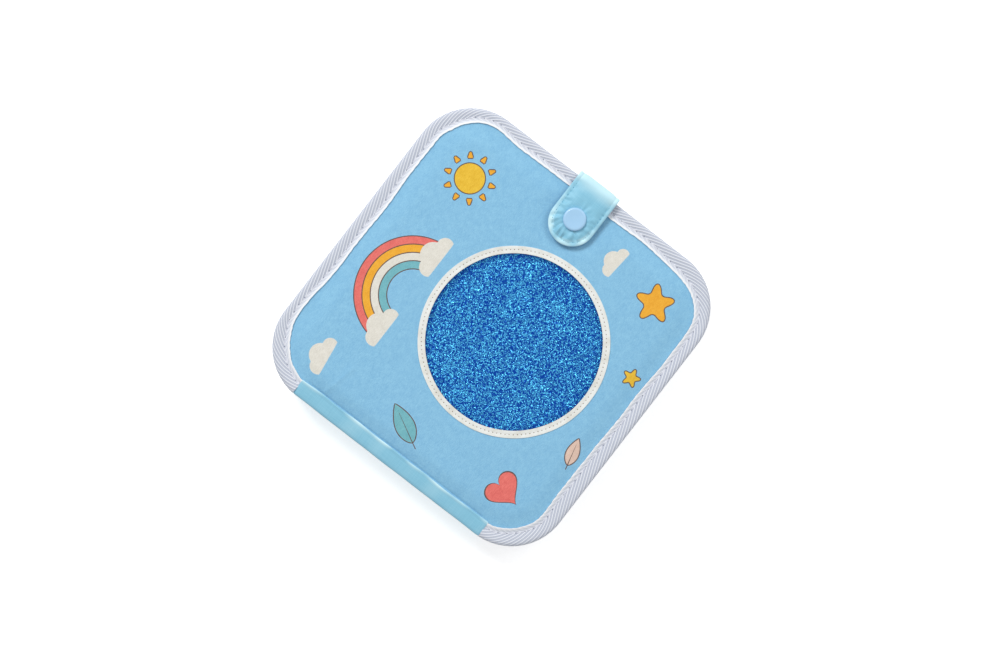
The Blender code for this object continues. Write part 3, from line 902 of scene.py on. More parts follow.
@dataclass(frozen=True)
class Cut:
    """A flat piece of cloth cut to an outline, with holes and printed shapes, as even triangles."""

    outline: Array
    holes: tuple[Array, ...] = ()
    prints: tuple[tuple[Array, int], ...] = ()
    spacing: float = 0.003
    clear_share: float = 0.4
    extra: Array | None = None

    def triangles(self) -> tuple[Array, Array, Array]:
        """Fills the outline.

        Returns:
            The places, the triangles and the number of each triangle's finish.
        """
        loops = [self.outline, *self.holes, *(shape for shape, _ in self.prints)]
        loops = [loop if self._area(loop) > 0 else loop[::-1] for loop in loops]
        low, high = self.outline.min(0), self.outline.max(0)
        counts = np.ceil((high - low) / self.spacing).astype(int)
        across, up = (np.linspace(low[i], high[i], counts[i] + 1) for i in range(2))
        inside = np.stack(np.meshgrid(across, up), -1).reshape(-1, 2)
        for loop in loops:
            for start, end in zip(loop, np.roll(loop, -1, 0)):
                inside = inside[self._way_off(inside, start, end) > self.clear_share * self.spacing]
        points = np.concatenate([*loops, inside] if self.extra is None else [*loops, inside, self.extra])
        faces, first = [], 0
        for loop in loops:
            faces.append(list(range(first, first + len(loop))))
            first += len(loop)
        places, _, found, _, _, owners = delaunay_2d_cdt([Vector(p) for p in points], [], faces, 1, 1e-7)
        kept, picks = [], []
        first_print = 1 + len(self.holes)
        for face, owner in zip(found, owners):
            if 0 not in owner or any(0 < o < first_print for o in owner):
                continue
            inks = [o - first_print for o in owner if o >= first_print]
            kept.append(face)
            picks.append(self.prints[max(inks)][1] if inks else 0)
        used, faces = np.unique(np.array(kept), return_inverse=True)
        return np.array([tuple(places[i]) for i in used]), faces.reshape(-1, 3), np.array(picks)

    @staticmethod
    def _area(loop: Array) -> float:
        """The area inside a loop, below 0 where it runs clockwise."""
        after = np.roll(loop, -1, 0)
        return float((loop[:, 0] * after[:, 1] - after[:, 0] * loop[:, 1]).sum()) / 2

    @staticmethod
    def _way_off(points: Array, start: Array, end: Array) -> Array:
        """The distance of each point from one straight edge."""
        along = end - start
        share = np.clip(((points - start) @ along) / max(float(along @ along), 1e-18), 0, 1)
        return np.linalg.norm(points - start - share[:, None] * along, axis=1)

    def laid(self, name: str, height: Height) -> Piece:
        """The cloth as one bare surface at a height, for copies of a shape to be strewn over."""
        flat, faces, _ = self.triangles()
        return finished(name, np.column_stack([flat, height(*flat.T)]), faces, [])

    def between(self, name: str, low: Height, high: Height, finishes: list[Finish]) -> Piece:
        """Gives the cloth its thickness between two surfaces.

        Args:
            name: the piece's name.
            low: the height of its underside at each place.
            high: the height of its upper side at each place.
            finishes: its materials, the cloth's own first.

        Returns:
            The closed piece.
        """
        flat, faces, picks = self.triangles()
        upper, lower = (np.column_stack([flat, side(flat[:, 0], flat[:, 1])]) for side in (high, low))
        return shell(name, upper, lower, faces, finishes, flat, picks)


class Motif(Enum):
    """The plain shapes of the print."""

    SUN = "sun"
    CLOUD = "cloud"
    HEART = "heart"
    STAR = "star"
    LEAF = "leaf"
    RAINBOW = "rainbow"


Shapes = list[tuple[Array, Ink]]


@dataclass(frozen=True)
class Print:
    """One printed shape: where it is on the page, half its width, and its turn."""

    motif: Motif
    x: float
    y: float
    size: float
    ink: Ink
    degrees: float = 0.0
    line: float = 0.0006

    def shapes(self) -> Shapes:
        """Its outlines on the page, each with its ink and over the ones before it."""
        made = getattr(self, self.motif.value)()
        turn = math.radians(self.degrees)
        spin = np.array([[math.cos(turn), math.sin(turn)], [-math.sin(turn), math.cos(turn)]])
        return [(shape @ spin + (self.x, self.y), ink) for shape, ink in made]

    def lined(self, shape: Array, ink: Ink) -> Shapes:
        """A filled shape inside its drawn line."""
        way = np.roll(shape, -1, 0) - np.roll(shape, 1, 0)
        out = np.stack([way[:, 1], -way[:, 0]], 1) / np.linalg.norm(way, axis=1)[:, None]
        return [(shape + out * self.line / 2, Ink.OUTLINE), (shape - out * self.line / 2, ink)]

    def sun(self) -> Shapes:
        """A disc with ten tapered rays round it."""
        made, rays = [], 10
        spans = ([0.74, 0.80, 0.98, 1.0], [0.09, 0.11, 0.05, 0.0])
        reach, half = (self.size * np.array(span) for span in spans)
        for step in range(rays):
            turn = TWO_PI * step / rays
            way = np.array([math.cos(turn), math.sin(turn)])
            side = np.array([-math.sin(turn), math.cos(turn)])
            right = [way * r - side * h for r, h in zip(reach, half)]
            left = [way * r + side * h for r, h in zip(reach[:3][::-1], half[:3][::-1])]
            made += self.lined(np.array(right + left), Ink.ORANGE)
        return made + self.lined(circle((0, 0), self.size * 0.58, 48), self.ink)

    def cloud(self) -> Shapes:
        """Three puffs on a flat base, with no line round them."""
        least, base = 0.05, -0.24
        ways = circle((0, 0), 1.0, 96)
        reach = np.full(len(ways), least)
        for x, y, radius in ((-0.52, 0.0, 0.40), (-0.02, 0.16, 0.54), (0.56, -0.02, 0.36)):
            along = ways @ (x, y)
            inside = along ** 2 - (x * x + y * y) + radius ** 2
            reach = np.maximum(reach, np.where(inside > 0, along + np.sqrt(np.maximum(inside, 0)), least))
        down = np.minimum(ways[:, 1], -1e-6)
        reach = np.where(ways[:, 1] < -1e-6, np.minimum(reach, base / down), reach)
        return [(ways * (self.size * reach)[:, None], self.ink)]

    def heart(self) -> Shapes:
        """A plump heart."""
        t = TWO_PI * (np.arange(64) + 0.5) / 64
        x = 16 * np.sin(t) ** 3
        y = 13 * np.cos(t) - 5 * np.cos(2 * t) - 2 * np.cos(3 * t) - np.cos(4 * t)
        shape = np.stack([x, y + 2], 1)[::-1] * self.size / 16
        grow = 0.6 * self.line / self.size
        return [(shape * (1 + grow), Ink.OUTLINE), (shape * (1 - grow), self.ink)]

    def star(self) -> Shapes:
        """A star with five round points."""
        t = turns(80)
        reach = self.size * (0.56 + 0.44 * ((1 + np.cos(5 * t)) / 2) ** 1.5)
        return self.lined(np.stack(around((0, 0), reach, t + math.pi / 2), 1), self.ink)

    def leaf(self) -> Shapes:
        """A pointed leaf with its rib, which reaches out as its stalk."""
        t = np.linspace(0, 1, 24)
        half = 0.46 * self.size * np.sin(math.pi * t ** 0.8) ** 0.85
        along = self.size * (2 * t - 1)
        shape = np.concatenate([np.stack([along, -half], 1), np.stack([along[-2:0:-1], half[-2:0:-1]], 1)])
        stalk, tip, width, fine = -1.3 * self.size, 0.55 * self.size, self.line / 2, self.line / 2 * 0.3
        rib = np.array([(stalk, -width), (tip, -fine), (tip, fine), (stalk, width)])
        return [*self.lined(shape, self.ink), (rib, Ink.OUTLINE)]

    def rainbow(self) -> Shapes:
        """Four arches, one inside another, with drawn lines between them."""
        made, turn = [], np.linspace(0, math.pi, 49)
        for step, ink in enumerate((Ink.CORAL, Ink.ORANGE, Ink.CREAM, Ink.TEAL)):
            outer, inner = self.size * (1 - 0.14 * step), self.size * (0.86 - 0.14 * step)
            arch = [np.stack(around((0, 0), r, way), 1) for r, way in ((outer, turn), (inner, turn[::-1]))]
            made += self.lined(np.concatenate(arch), ink)
        return made


@dataclass(frozen=True)
class FoldedStrip:
    """The section of cloth folded over an edge: a flat lip, a round turn, the side, a turn and the other lip.

    The way across runs from the upper lip's edge to the lower lip's edge.
    """

    lip: float
    fold: float
    base: float
    top: float

    @property
    def marks(self) -> tuple[float, float, float, float, float]:
        """Where each stretch ends, measured across."""
        flat, turn, side = self.lip - self.fold, self.fold * math.pi / 2, self.top - self.base - 2 * self.fold
        return flat, flat + turn, flat + turn + side, flat + 2 * turn + side, 2 * flat + 2 * turn + side

    def at(self, across: Array) -> tuple[Array, Array, Array]:
        """Where the cloth's outer face is.

        Args:
            across: the ways across.

        Returns:
            How far in from the edge, how high, and how far it has turned, from 0 to half a turn.
        """
        upper, first, side, last, _ = self.marks
        a = np.clip((across - upper) / self.fold, 0, math.pi / 2)
        b = np.clip((across - side) / self.fold, 0, math.pi / 2)
        inset = self.lip - np.minimum(across, upper) - self.fold * (np.sin(a) + np.cos(b) - 1)
        inset = inset + np.maximum(across - last, 0)
        height = self.top - self.fold * (1 - np.cos(a)) - np.clip(across - first, 0, side - first)
        return inset, height - self.fold * np.sin(b), a + b


@dataclass(frozen=True)
class EdgeTape:
    """Herringbone tape folded over one leaf's edge, sewn through once. Its ribs are real ridges.

    The tape is of one width, so where its upper lip is narrow its lower lip is wide. The seam draws both
    lips down, and each selvedge rises beside it. Held_half is half the width of what is sewn on the fore
    edge, where the tape is drawn down less. The drift gives the upper lip's width by the share of the run.
    """

    outline: Outline
    base: float
    top: float
    gap_half: float
    seed: int
    held_half: float = 0.0
    held_share: float = 0.3
    held_fade: float = 0.008
    lip: float = 0.010
    fold: float = 0.0021
    thickness: float = 0.0005
    relief: float = 0.00009
    selvedge_share: float = 0.4
    wave: Pair = (0.0008, 0.032)
    fray: Pair = (0.00028, 0.0045)
    fray_reach: float = 0.002
    seam_dip: float = 0.0009
    steepness: float = 0.21
    edge_share: float = 0.1
    bead: float = 0.00016
    column: float = 0.0008
    rib_steps: int = 6
    square_share: float = 2.2
    press_reach: float = 0.016
    press_fade: float = 0.0015
    thread_sink: float = 0.00006
    drift: tuple[Pair, ...] = (
        (0.0, 0.0092), (0.016, 0.0104), (0.04, 0.0105), (0.066, 0.0098), (0.082, 0.0085), (0.098, 0.0076),
        (0.115, 0.0081), (0.131, 0.0091), (0.15, 0.0096), (0.197, 0.0098), (0.23, 0.0104), (0.263, 0.0094),
        (0.279, 0.0092), (0.312, 0.0098), (0.328, 0.0102), (0.345, 0.0089), (0.361, 0.0080), (0.394, 0.0076),
        (0.42, 0.0085), (0.465, 0.0081), (0.525, 0.0088), (0.558, 0.0084), (0.591, 0.0098), (0.623, 0.0110),
        (0.65, 0.0106), (0.673, 0.0093), (0.705, 0.0089), (0.76, 0.0099), (0.80, 0.0102), (0.86, 0.0110),
        (0.95, 0.0104), (1.0, 0.0095),
    )

    @property
    def section(self) -> FoldedStrip:
        """The tape's section."""
        return FoldedStrip(self.lip, self.fold, self.base, self.top)

    @property
    def rim(self) -> Rim:
        """The line that the tape follows."""
        return self.outline.rim(0.002, self.gap_half)

    def lip_width(self, run: Array) -> Array:
        """The upper lip's width along the rim, uneven as where it was sewn by hand."""
        known, widths = np.array(self.drift).T
        even = np.interp(run / self.rim.run[-1], known, widths)
        return even + Ripple(*self.wave, self.seed)(run, run * 0)

    def twilled(self, across: Array) -> Array:
        """The way across, measured from the tape's middle and turned back in the selvedges."""
        middle = across - self.section.marks[-1] / 2
        beyond = np.maximum(np.abs(middle) - (self.section.marks[-1] / 2 - Cloths.tape.selvedge), 0)
        return middle - 2 * beyond * np.sign(middle)

    def sheared(self, run: Array, across: Array) -> Array:
        """Runs that follow the ribs, so that each ridge is one row of points, but square at the two ends."""
        slide, total = self.twilled(across) / math.tan(Cloths.tape.slant), float(self.rim.run[-1])
        square = ease(np.minimum(run, total - run) / (self.square_share * np.abs(slide).max()))
        return np.clip(run + slide * square, 0, total)

    def dip(self, inset: Array, run: Array) -> Array:
        """How far the seam draws both faces down.

        Args:
            inset: how far in from the leaf's edge.
            run: the ways along.

        Returns:
            The depth: nothing at the fold, the most at the seam, and less at the selvedge.
        """
        seam = self.lip_width(run) - Cloths.tape.selvedge
        depth = np.minimum(self.seam_dip, self.steepness * (seam - self.fold))
        if self.held_half > 0:
            beside = ease((np.abs(run - self.rim.run[-1] / 2) - self.held_half) / self.held_fade)
            depth = depth * (self.held_share + (1 - self.held_share) * beside)
        outer = np.clip((inset - self.fold) / (seam - self.fold), 0, 1)
        inner = ease((inset - seam) / Cloths.tape.selvedge)
        return depth * outer ** 2 * (1 - (1 - self.edge_share) * inner)

    def press(self, x: Array, y: Array, slack: float) -> Array:
        """How far the tape presses a felt in.

        Args:
            x: the places' x.
            y: the places' y.
            slack: the room between the tape and the felt where nothing presses.

        Returns:
            The depth at each place, nothing outside the tape.
        """
        inward = self.outline.inward(x, y)
        depth = np.zeros(inward.shape)
        near = inward < self.press_reach
        rim = self.rim
        places = np.stack([x[near], y[near]], -1)
        away = np.linalg.norm(places[:, None] - rim.points[None], axis=-1)
        nearest = away.argmin(1)
        run = rim.run[nearest]
        beside = 1 - ease((away[np.arange(len(nearest)), nearest] - inward[near]) / self.press_fade)
        under = 1 - ease((inward[near] - self.lip_width(run) - 0.0002) / self.press_fade)
        depth[near] = np.maximum(self.dip(inward[near], run) - slack, 0) * beside * under
        return depth

    def build(self, name: str) -> Piece:
        """Makes the tape as one closed piece.

        Args:
            name: the piece's name.

        Returns:
            The piece.
        """
        twill, rim, section = Cloths.tape, self.rim, self.section
        width = section.marks[-1]
        columns = round((width - 2 * twill.selvedge) / self.column)
        inner = np.linspace(twill.selvedge, width - twill.selvedge, columns)
        edge = np.array([0.0, 0.0003, 0.0007, 0.0014, 0.0022])
        across = np.concatenate([edge, inner, (width - edge)[::-1]])
        rows = np.linspace(0, rim.run[-1], round(rim.run[-1] / twill.rib * self.rib_steps))
        runs = self.sheared(rows[:, None], across[None, :])
        inset, height, turned = section.at(across[None, :] + self.lip - self.lip_width(runs))
        off_edge = np.minimum(across, width - across)[None, :]
        frayed = Ripple(*self.fray, self.seed + 3)(runs, np.sign(height))
        inset = inset + frayed * np.clip(1 - off_edge / self.fray_reach, 0, 1)
        phase = (runs - self.twilled(across)[None, :] / math.tan(twill.slant)) * TWO_PI / twill.rib
        share = np.where(off_edge < twill.selvedge, self.selvedge_share, 1.0)
        ribs = self.relief * share * (1 - np.cos(phase)) / 2
        sunk = ribs + self.dip(inset, runs) - self.bead * bump_at(off_edge - 0.0003, 0.0005)
        sunk = np.where(height < (self.base + self.top) / 2, np.maximum(sunk, 0), sunk)
        places, ways = rim.at(runs)
        surfaces = []
        for depth in (sunk, sunk + self.thickness):
            flat = places - ways * (inset + np.sin(turned) * depth)[..., None]
            surfaces.append(rows_of(flat[..., 0], flat[..., 1], height - np.cos(turned) * depth))
        grid = grid_faces(len(rows), len(across))
        return shell(name, *surfaces, grid, [twill], rows_of(runs, across))

    def seams(self) -> list[Array]:
        """The seam's line on the upper and on the lower face."""
        rim = self.rim
        runs = np.linspace(0.001, rim.run[-1] - 0.001, 600)
        places, ways = rim.at(runs)
        inset = self.lip_width(runs) - Cloths.tape.selvedge
        sunk = self.dip(inset, runs) + self.relief * self.selvedge_share - self.thread_sink
        flat = places - ways * inset[:, None]
        return [np.column_stack([flat, height]) for height in (self.top - sunk, self.base + sunk)]


@dataclass
class Side:
    """One felt of a leaf. It faces 1, towards the book's front, or -1, towards its back."""

    node: str
    finish: Felt
    slot: str
    facing: int

    def __post_init__(self) -> None:
        """Measures the felt's node."""
        self.low, self.high = heights(self.node)
        self.thickness = self.high - self.low
        self.face = self.high if self.facing > 0 else self.low


@dataclass
class Leaf:
    """One leaf of the book: two felts with wadding between them and the tape round them.

    Held_half is half the width of what is sewn on its fore edge, and banded is the facing that the spine band
    laps over.
    """

    name: str
    outline: Outline
    back: Side
    front: Side
    seed: int
    held_half: float = 0.0
    banded: int = 0
    felt_inset: float = 0.0009
    felt_spacing: float = 0.0035
    ripple: Pair = (0.00012, 0.045)
    clearance: float = 0.00012
    press_rings: tuple[float, ...] = (0.0033, 0.0052, 0.0071, 0.0088, 0.0104)
    wadding_inset: float = 0.0016
    wadding_half: float = 0.00008

    def __post_init__(self) -> None:
        """Measures the leaf's nodes."""
        self.bottom, self.top = heights(f"{self.name}_binding")
        self.middle = (self.bottom + self.top) / 2
        self.gap_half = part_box(f"{self.name}_spine_band")[1].y + 0.0002
        self.edging = EdgeTape(self.outline, self.bottom, self.top, self.gap_half, self.seed, self.held_half)

    def unpressed(self, side: Side) -> Height:
        """The height of a felt's face where nothing presses it in.

        Args:
            side: the felt.

        Returns:
            The height.
        """
        ripple = Ripple(*self.ripple, self.seed if side is self.front else self.seed + 7)

        def height(x: Array, y: Array) -> Array:
            return side.face + ripple(x, y)

        return height

    def surface(self, side: Side, deep: float = 0.0) -> Height:
        """The height of a felt's face, pressed in by the tape and by the spine band's lap.

        Args:
            side: the felt.
            deep: how far under its face, for the surfaces behind it.

        Returns:
            The height.
        """
        face = self.unpressed(side)
        slack = self.top - self.front.high - self.edging.thickness - self.clearance

        def height(x: Array, y: Array) -> Array:
            depth = self.edging.press(x, y, slack)
            if self.banded == side.facing:
                beside = 1 - ease((np.abs(y) - self.gap_half + 0.001) / 0.001)
                depth = np.maximum(depth, (SpineBand.fall(x - self.outline.spine) - slack) * beside)
            return face(x, y) - side.facing * depth - side.facing * deep

        return height

    def felt_cut(self) -> Cut:
        """A plain felt's cut, just inside the tape's fold."""
        outline = self.outline.rim(0.004).inside(self.felt_inset)
        return Cut(outline, spacing=self.felt_spacing, extra=self.rim_places())

    def rim_places(self) -> Array:
        """More places for the felts' meshes, where the tape presses them in."""
        rim = self.outline.rim(0.003)
        return np.concatenate([rim.inside(off) for off in self.press_rings])

    def front_cut(self) -> tuple[Cut, list[Finish], float]:
        """The front felt's cut, its finishes and the area of its window."""
        return self.felt_cut(), [self.front.finish], 0.0

    def wadding_holes(self) -> tuple[Array, ...]:
        """The holes in the wadding."""
        return ()

    def felts(self) -> None:
        """Lays the two felts."""
        cuts = ((self.front, *self.front_cut()), (self.back, self.felt_cut(), [self.back.finish], 0.0))
        for side, cut, finishes, window in cuts:
            surfaces = [self.surface(side), self.surface(side, side.thickness)]
            sheet = cut.between(f"{side.node}_sheet", *surfaces[::-side.facing], finishes)
            dress(sheet, side.slot, self.name, [side.node])

    def wadding(self) -> None:
        """Fills the leaf with its wadding, loft and all."""
        cut = Cut(self.outline.rim(0.006).inside(self.wadding_inset), self.wadding_holes(), spacing=0.009)
        over = self.front.low - heights(f"{self.name}_wadding")[1]
        upper, lower = (self.surface(side, side.thickness) for side in (self.front, self.back))

        def high(x: Array, y: Array) -> Array:
            return np.maximum(upper(x, y) - over, self.middle + self.wadding_half)

        def low(x: Array, y: Array) -> Array:
            return np.minimum(lower(x, y) + over, self.middle - self.wadding_half)

        pad = cut.between(f"{self.name}_wadding_pad", low, high, [Cloths.wadding])
        dress(pad, "wadding", self.name, [f"{self.name}_wadding"])

    def tape(self) -> None:
        """Folds the tape over the leaf's edge and sews it."""
        tape = self.edging
        piece = dress(tape.build(f"{self.name}_tape"), "edge_tape", self.name, [f"{self.name}_binding"])
        sewn = Stitching(Cloths.white_thread, Cloths.tape_hole, seed=self.seed)
        name = f"{self.name}_tape_stitches"
        stitches = sewn.sew(name, tape.seams(), "edge_tape", self.name, middle=self.middle)
        tape.section.marks[-1]
        float(tape.rim.run[-1])

    def build(self) -> None:
        """Makes the leaf, from the inside out."""
        self.wadding()
        self.felts()
        self.tape()


@dataclass
class Window:
    """The front cover's window: the tinsel cloth behind it, and the coated ring sewn round it.

    The ring is a strip folded double over its inner edge: its section runs from the outer edge over the top,
    round the fold and back below.
    """

    sides: int = 192
    strip: float = 0.010
    ring_width: float = 0.00435
    cloth: float = 0.00020
    ring_lift: float = 0.00002
    seam_groove: float = 0.18
    shoulder: float = 0.14
    waver: Pair = (0.00012, 0.03)
    sinking: float = 0.00035
    bulge: float = 0.0009
    tinsel_gap: float = 0.0003
    tinsel_ripple: Pair = (0.00018, 0.012)
    sliver_length: float = 0.0019
    sliver_width: float = 0.00036
    sliver_height: float = 0.00005
    slivers_per_area: float = 2.6e6

    def __post_init__(self) -> None:
        """Measures the ring and the cloth."""
        self.centre, self.outer = disc("window_ring")
        self.inner = self.outer - self.ring_width
        self.middle = (self.outer + self.inner) / 2
        low, high = heights("window_ring")
        self.thickness = high - low
        self.cloth_low, self.cloth_high = heights("window_glitter_cloth")

    def away(self, x: Array, y: Array) -> Array:
        """How far each place is from the window's middle."""
        return np.hypot(x - self.centre[0], y - self.centre[1])

    def ring_section(self) -> Array:
        """The ring strip's section: how far out from its middle line and how high."""
        half, fold = (self.outer - self.inner) / 2, self.thickness / 2
        across = np.linspace(1, -0.92, 14)
        top = 1 - self.shoulder * np.abs(across) ** 4 - self.seam_groove * bump_at(across, 0.2)
        bend = np.linspace(math.pi / 2, -math.pi / 2, 9)[1:-1]
        upper = np.stack([half * across, self.thickness * top], 1)
        turned = np.stack([fold - half - fold * np.cos(bend), fold + fold * np.sin(bend)], 1)
        lower = np.stack([half * np.linspace(-0.92, 1, 8), np.zeros(8)], 1)
        return np.concatenate([upper, turned, lower])

    def ring(self, under: Height) -> None:
        """Lays the ring on the felt and sews it through its middle.

        Args:
            under: the felt's height.
        """
        path = self.ring_section()
        way = np.gradient(path, axis=0)
        inwards = np.stack([-way[:, 1], way[:, 0]], 1) / np.linalg.norm(way, axis=1)[:, None]
        turn = turns(self.sides)
        waver = Ripple(*self.waver, 5)(turn * self.middle, turn * 0)
        surfaces = []
        for section in (path, path + inwards * self.cloth):
            x, y = around(self.centre, self.middle + section[None, :, 0] + waver[:, None], turn[:, None])
            surfaces.append(rows_of(x, y, under(x, y) + self.ring_lift + section[None, :, 1]))
        wide = np.concatenate([[0], np.cumsum(np.linalg.norm(np.diff(path, axis=0), axis=1))])
        cloth = rows_of(turn[:, None] * self.middle, wide)
        grid = grid_faces(self.sides, len(path), closed=True)
        piece = shell("window_ring_cloth", *surfaces, grid, [Cloths.ring], cloth)
        dress(piece, "window_ring", "front_cover", ["window_ring"])

        line = circle(self.centre, self.middle, self.sides)
        height = under(line[:, 0], line[:, 1]) + self.thickness * 0.74
        sewn = Stitching(Cloths.white_thread, Cloths.ring_hole, 0.0024, 0.0013, 0.00015, 0.00040, 0.00012, 9)
        line = np.column_stack([line, height])
        stitches = sewn.sew("window_ring_stitches", [line], "window_ring", "front_cover", closed=True)

    def tinsel(self) -> None:
        """Lays the tinsel cloth behind the window and strews its slivers."""
        ripple, thickness = Ripple(*self.tinsel_ripple, 21), self.cloth_high - self.cloth_low

        def top(x: Array, y: Array) -> Array:
            rise = self.bulge * (1 - ease(self.away(x, y) / self.outer))
            return self.cloth_high - self.tinsel_gap + rise + ripple(x, y)

        def under(x: Array, y: Array) -> Array:
            return top(x, y) - thickness

        cut = Cut(circle(self.centre, self.outer, 96), spacing=0.0028)
        base = cut.between("window_tinsel_cloth", under, top, [Cloths.glitter])
        dress(base, "glitter_cloth", "front_cover", ["window_glitter_cloth"])
        ground = Cut(circle(self.centre, self.inner + 0.001, 96), spacing=0.004).laid("window_tinsel", top)
        strewn = Strewn(self.slivers_per_area, math.radians(34), 11, Cloths.glitter)
        slivers = strewn.over(ground, self.sliver())
        slivers.data.polygons.foreach_set("use_smooth", [False] * len(slivers.data.polygons))
        dress(slivers, "glitter_cloth", "front_cover")

    def sliver(self) -> Piece:
        """One sliver of film as a closed shape of eight faces."""
        x, y, z = self.sliver_length / 2, self.sliver_width / 2, self.sliver_height
        points = [(-x, 0, 0), (0, -y, 0), (x, 0, 0), (0, y, 0), (0.2 * x, 0, z), (-0.2 * x, 0, -z)]
        faces = [(i, (i + 1) % 4, 4) for i in range(4)] + [((i + 1) % 4, i, 5) for i in range(4)]
        return finished("sliver", np.array(points), faces, [])


@dataclass(frozen=True)
class Crease:
    """A short raised crease in the front cover's felt, from where the book was once folded."""

    start: Pair = (-0.0700, 0.0485)
    end: Pair = (-0.0890, 0.0525)
    length: float = 0.0194
    height: float = 0.00035
    width: float = 0.0008
    beside: float = 0.0011

    def rise(self, x: Array, y: Array) -> Array:
        """How far it lifts the felt at each place.

        Args:
            x: the places' x.
            y: the places' y.

        Returns:
            The rise.
        """
        start, way = np.array(self.start), np.array(self.end) - np.array(self.start)
        off = np.stack([x, y], -1) - start
        along = np.clip(off @ way / self.length ** 2, 0, 1)
        return self.height * bump_at(np.linalg.norm(off - along[..., None] * way, axis=-1), self.width)

    def places(self) -> list[Array]:
        """Places along it and beside it for the felt's mesh."""
        start, way = np.array(self.start), np.array(self.end) - np.array(self.start)
        side = np.array([-way[1], way[0]]) / np.linalg.norm(way)
        along = start + np.linspace(0, 1, 16)[:, None] * way
        return [along + side * off for off in (-self.beside, 0, self.beside)]


@dataclass
class FrontCover(Leaf):
    """The front cover: its printed felt bulges a little between the tape, the window and the snap.

    Lap is where the spine band's lap ends, measured from the spine, and lap_half is half the length along
    which it holds the felt down. The felt is gathered beside it.
    """

    felt_spacing: float = 0.0026
    crown: float = 0.0017
    crown_start: float = 0.0085
    crown_run: float = 0.013
    spine_run: float = 0.009
    spine_start: float = 0.0012
    rough: Pair = (0.00022, 0.038)
    slow: Pair = (0.00035, 0.110)
    lap: float = 0.0105
    lap_half: float = 0.060
    lap_fade: float = 0.009
    ditch: Pair = (0.00045, 0.0006)
    ring_width: float = 0.0032
    press_radius: float = 0.0085
    press_run: float = 0.017
    gather: Pair = (0.00022, 0.0026)
    gather_pitch: float = 0.0145
    gather_shift: float = 0.004
    gather_start: float = 0.010
    gather_run: float = 0.010
    pin_hole: float = 0.0013
    bend_lines: tuple[float, ...] = (0.0092, 0.0100, 0.0104, 0.0108, 0.0113, 0.0120)
    crease: Crease = Crease()

    def __post_init__(self) -> None:
        """Measures the cover, the window and the snap."""
        super().__post_init__()
        self.window = Window()
        self.snap = (disc("snap_stud")[0][0], 0.0)

    def gathers(self) -> list[Pair]:
        """Where the felt is gathered beside the band, and each gather's share of the full height."""
        draw = np.random.default_rng(self.seed)
        places = np.arange(-0.058, self.lap_half, self.gather_pitch)
        places = places + draw.uniform(-1, 1, len(places)) * self.gather_shift
        return [(place, draw.uniform(0.6, 1.0)) for place in places]

    def unpressed(self, side: Side) -> Height:
        """The bulging face of the front felt: held down by the ring's seam, the snap and the spine band.

        Args:
            side: the felt. The back one is as plain as any other leaf's.

        Returns:
            The height.
        """
        if side is self.back:
            return super().unpressed(side)
        gathers = self.gathers()
        rough, slow = Ripple(*self.rough, self.seed), Ripple(*self.slow, self.seed + 1)

        def height(x: Array, y: Array) -> Array:
            from_spine = x - self.outline.spine
            off_end = ease((np.abs(y) - self.lap_half) / self.lap_fade)
            by_spine = np.where(x < self.outline.centre, 1 - off_end, 0.0)
            run = self.crown_run + (self.spine_run - self.crown_run) * by_spine
            inward = self.outline.inward(x, y)
            loose = ease((inward - self.crown_start - self.spine_start * by_spine) / run)
            from_snap = np.hypot(x - self.snap[0], y - self.snap[1])
            loose = loose * ease((from_snap - self.press_radius) / self.press_run)
            rise = self.crown * loose + (rough(x, y) + slow(x, y)) * loose
            off_ring = self.window.away(x, y) - self.window.middle
            rise = rise - self.window.sinking * bump_at(off_ring, self.ring_width) * loose
            rise = rise - self.ditch[0] * bump_at(from_spine - self.lap, self.ditch[1]) * by_spine
            fade = np.exp(-np.maximum(from_spine - self.gather_start, 0) / self.gather_run)
            fade = fade * ease((from_spine - self.lap) / 0.003)
            for place, share in gathers:
                rise = rise + self.gather[0] * share * bump_at(y - place, self.gather[1]) * fade
            return self.front.high + (rise + self.crease.rise(x, y))

        return height

    def prints(self) -> tuple[Print, ...]:
        """The print: plain weather and garden shapes, spread over the felt round the window."""
        return (
            Print(Motif.RAINBOW, -0.013, 0.047, 0.034, Ink.CORAL),
            Print(Motif.CLOUD, -0.0385, 0.0495, 0.0135, Ink.CREAM),
            Print(Motif.CLOUD, 0.0125, 0.0495, 0.0140, Ink.CREAM),
            Print(Motif.SUN, 0.060, 0.062, 0.0155, Ink.YELLOW),
            Print(Motif.CLOUD, -0.072, 0.066, 0.0125, Ink.CREAM, 8.0),
            Print(Motif.LEAF, -0.0745, 0.006, 0.0125, Ink.TEAL, 62.0),
            Print(Motif.HEART, -0.070, -0.064, 0.0105, Ink.CORAL, -12.0),
            Print(Motif.CLOUD, 0.073, -0.034, 0.0105, Ink.CREAM, -5.0),
            Print(Motif.STAR, 0.068, -0.066, 0.0115, Ink.ORANGE, 10.0),
            Print(Motif.LEAF, -0.028, -0.081, 0.0085, Ink.PEACH, 14.0),
            Print(Motif.STAR, 0.026, -0.0815, 0.0055, Ink.YELLOW, -8.0),
        )

    def front_cut(self) -> tuple[Cut, list[Finish], float]:
        """The printed felt with its window and the hole for the snap's pin."""
        inks = list(Ink)
        shapes = tuple(
            (shape + (self.outline.centre, 0.0), inks.index(ink) + 1)
            for printed in self.prints() for shape, ink in printed.shapes()
        )
        holes = (
            circle(self.window.centre, self.window.inner + 0.0003, 128), circle(self.snap, self.pin_hole, 16),
        )
        outline = self.outline.rim(0.004).inside(self.felt_inset)
        cut = Cut(outline, holes, shapes, self.felt_spacing, extra=self.creased_places())
        return cut, [self.front.finish, *(ink.value for ink in inks)], math.pi * self.window.inner ** 2

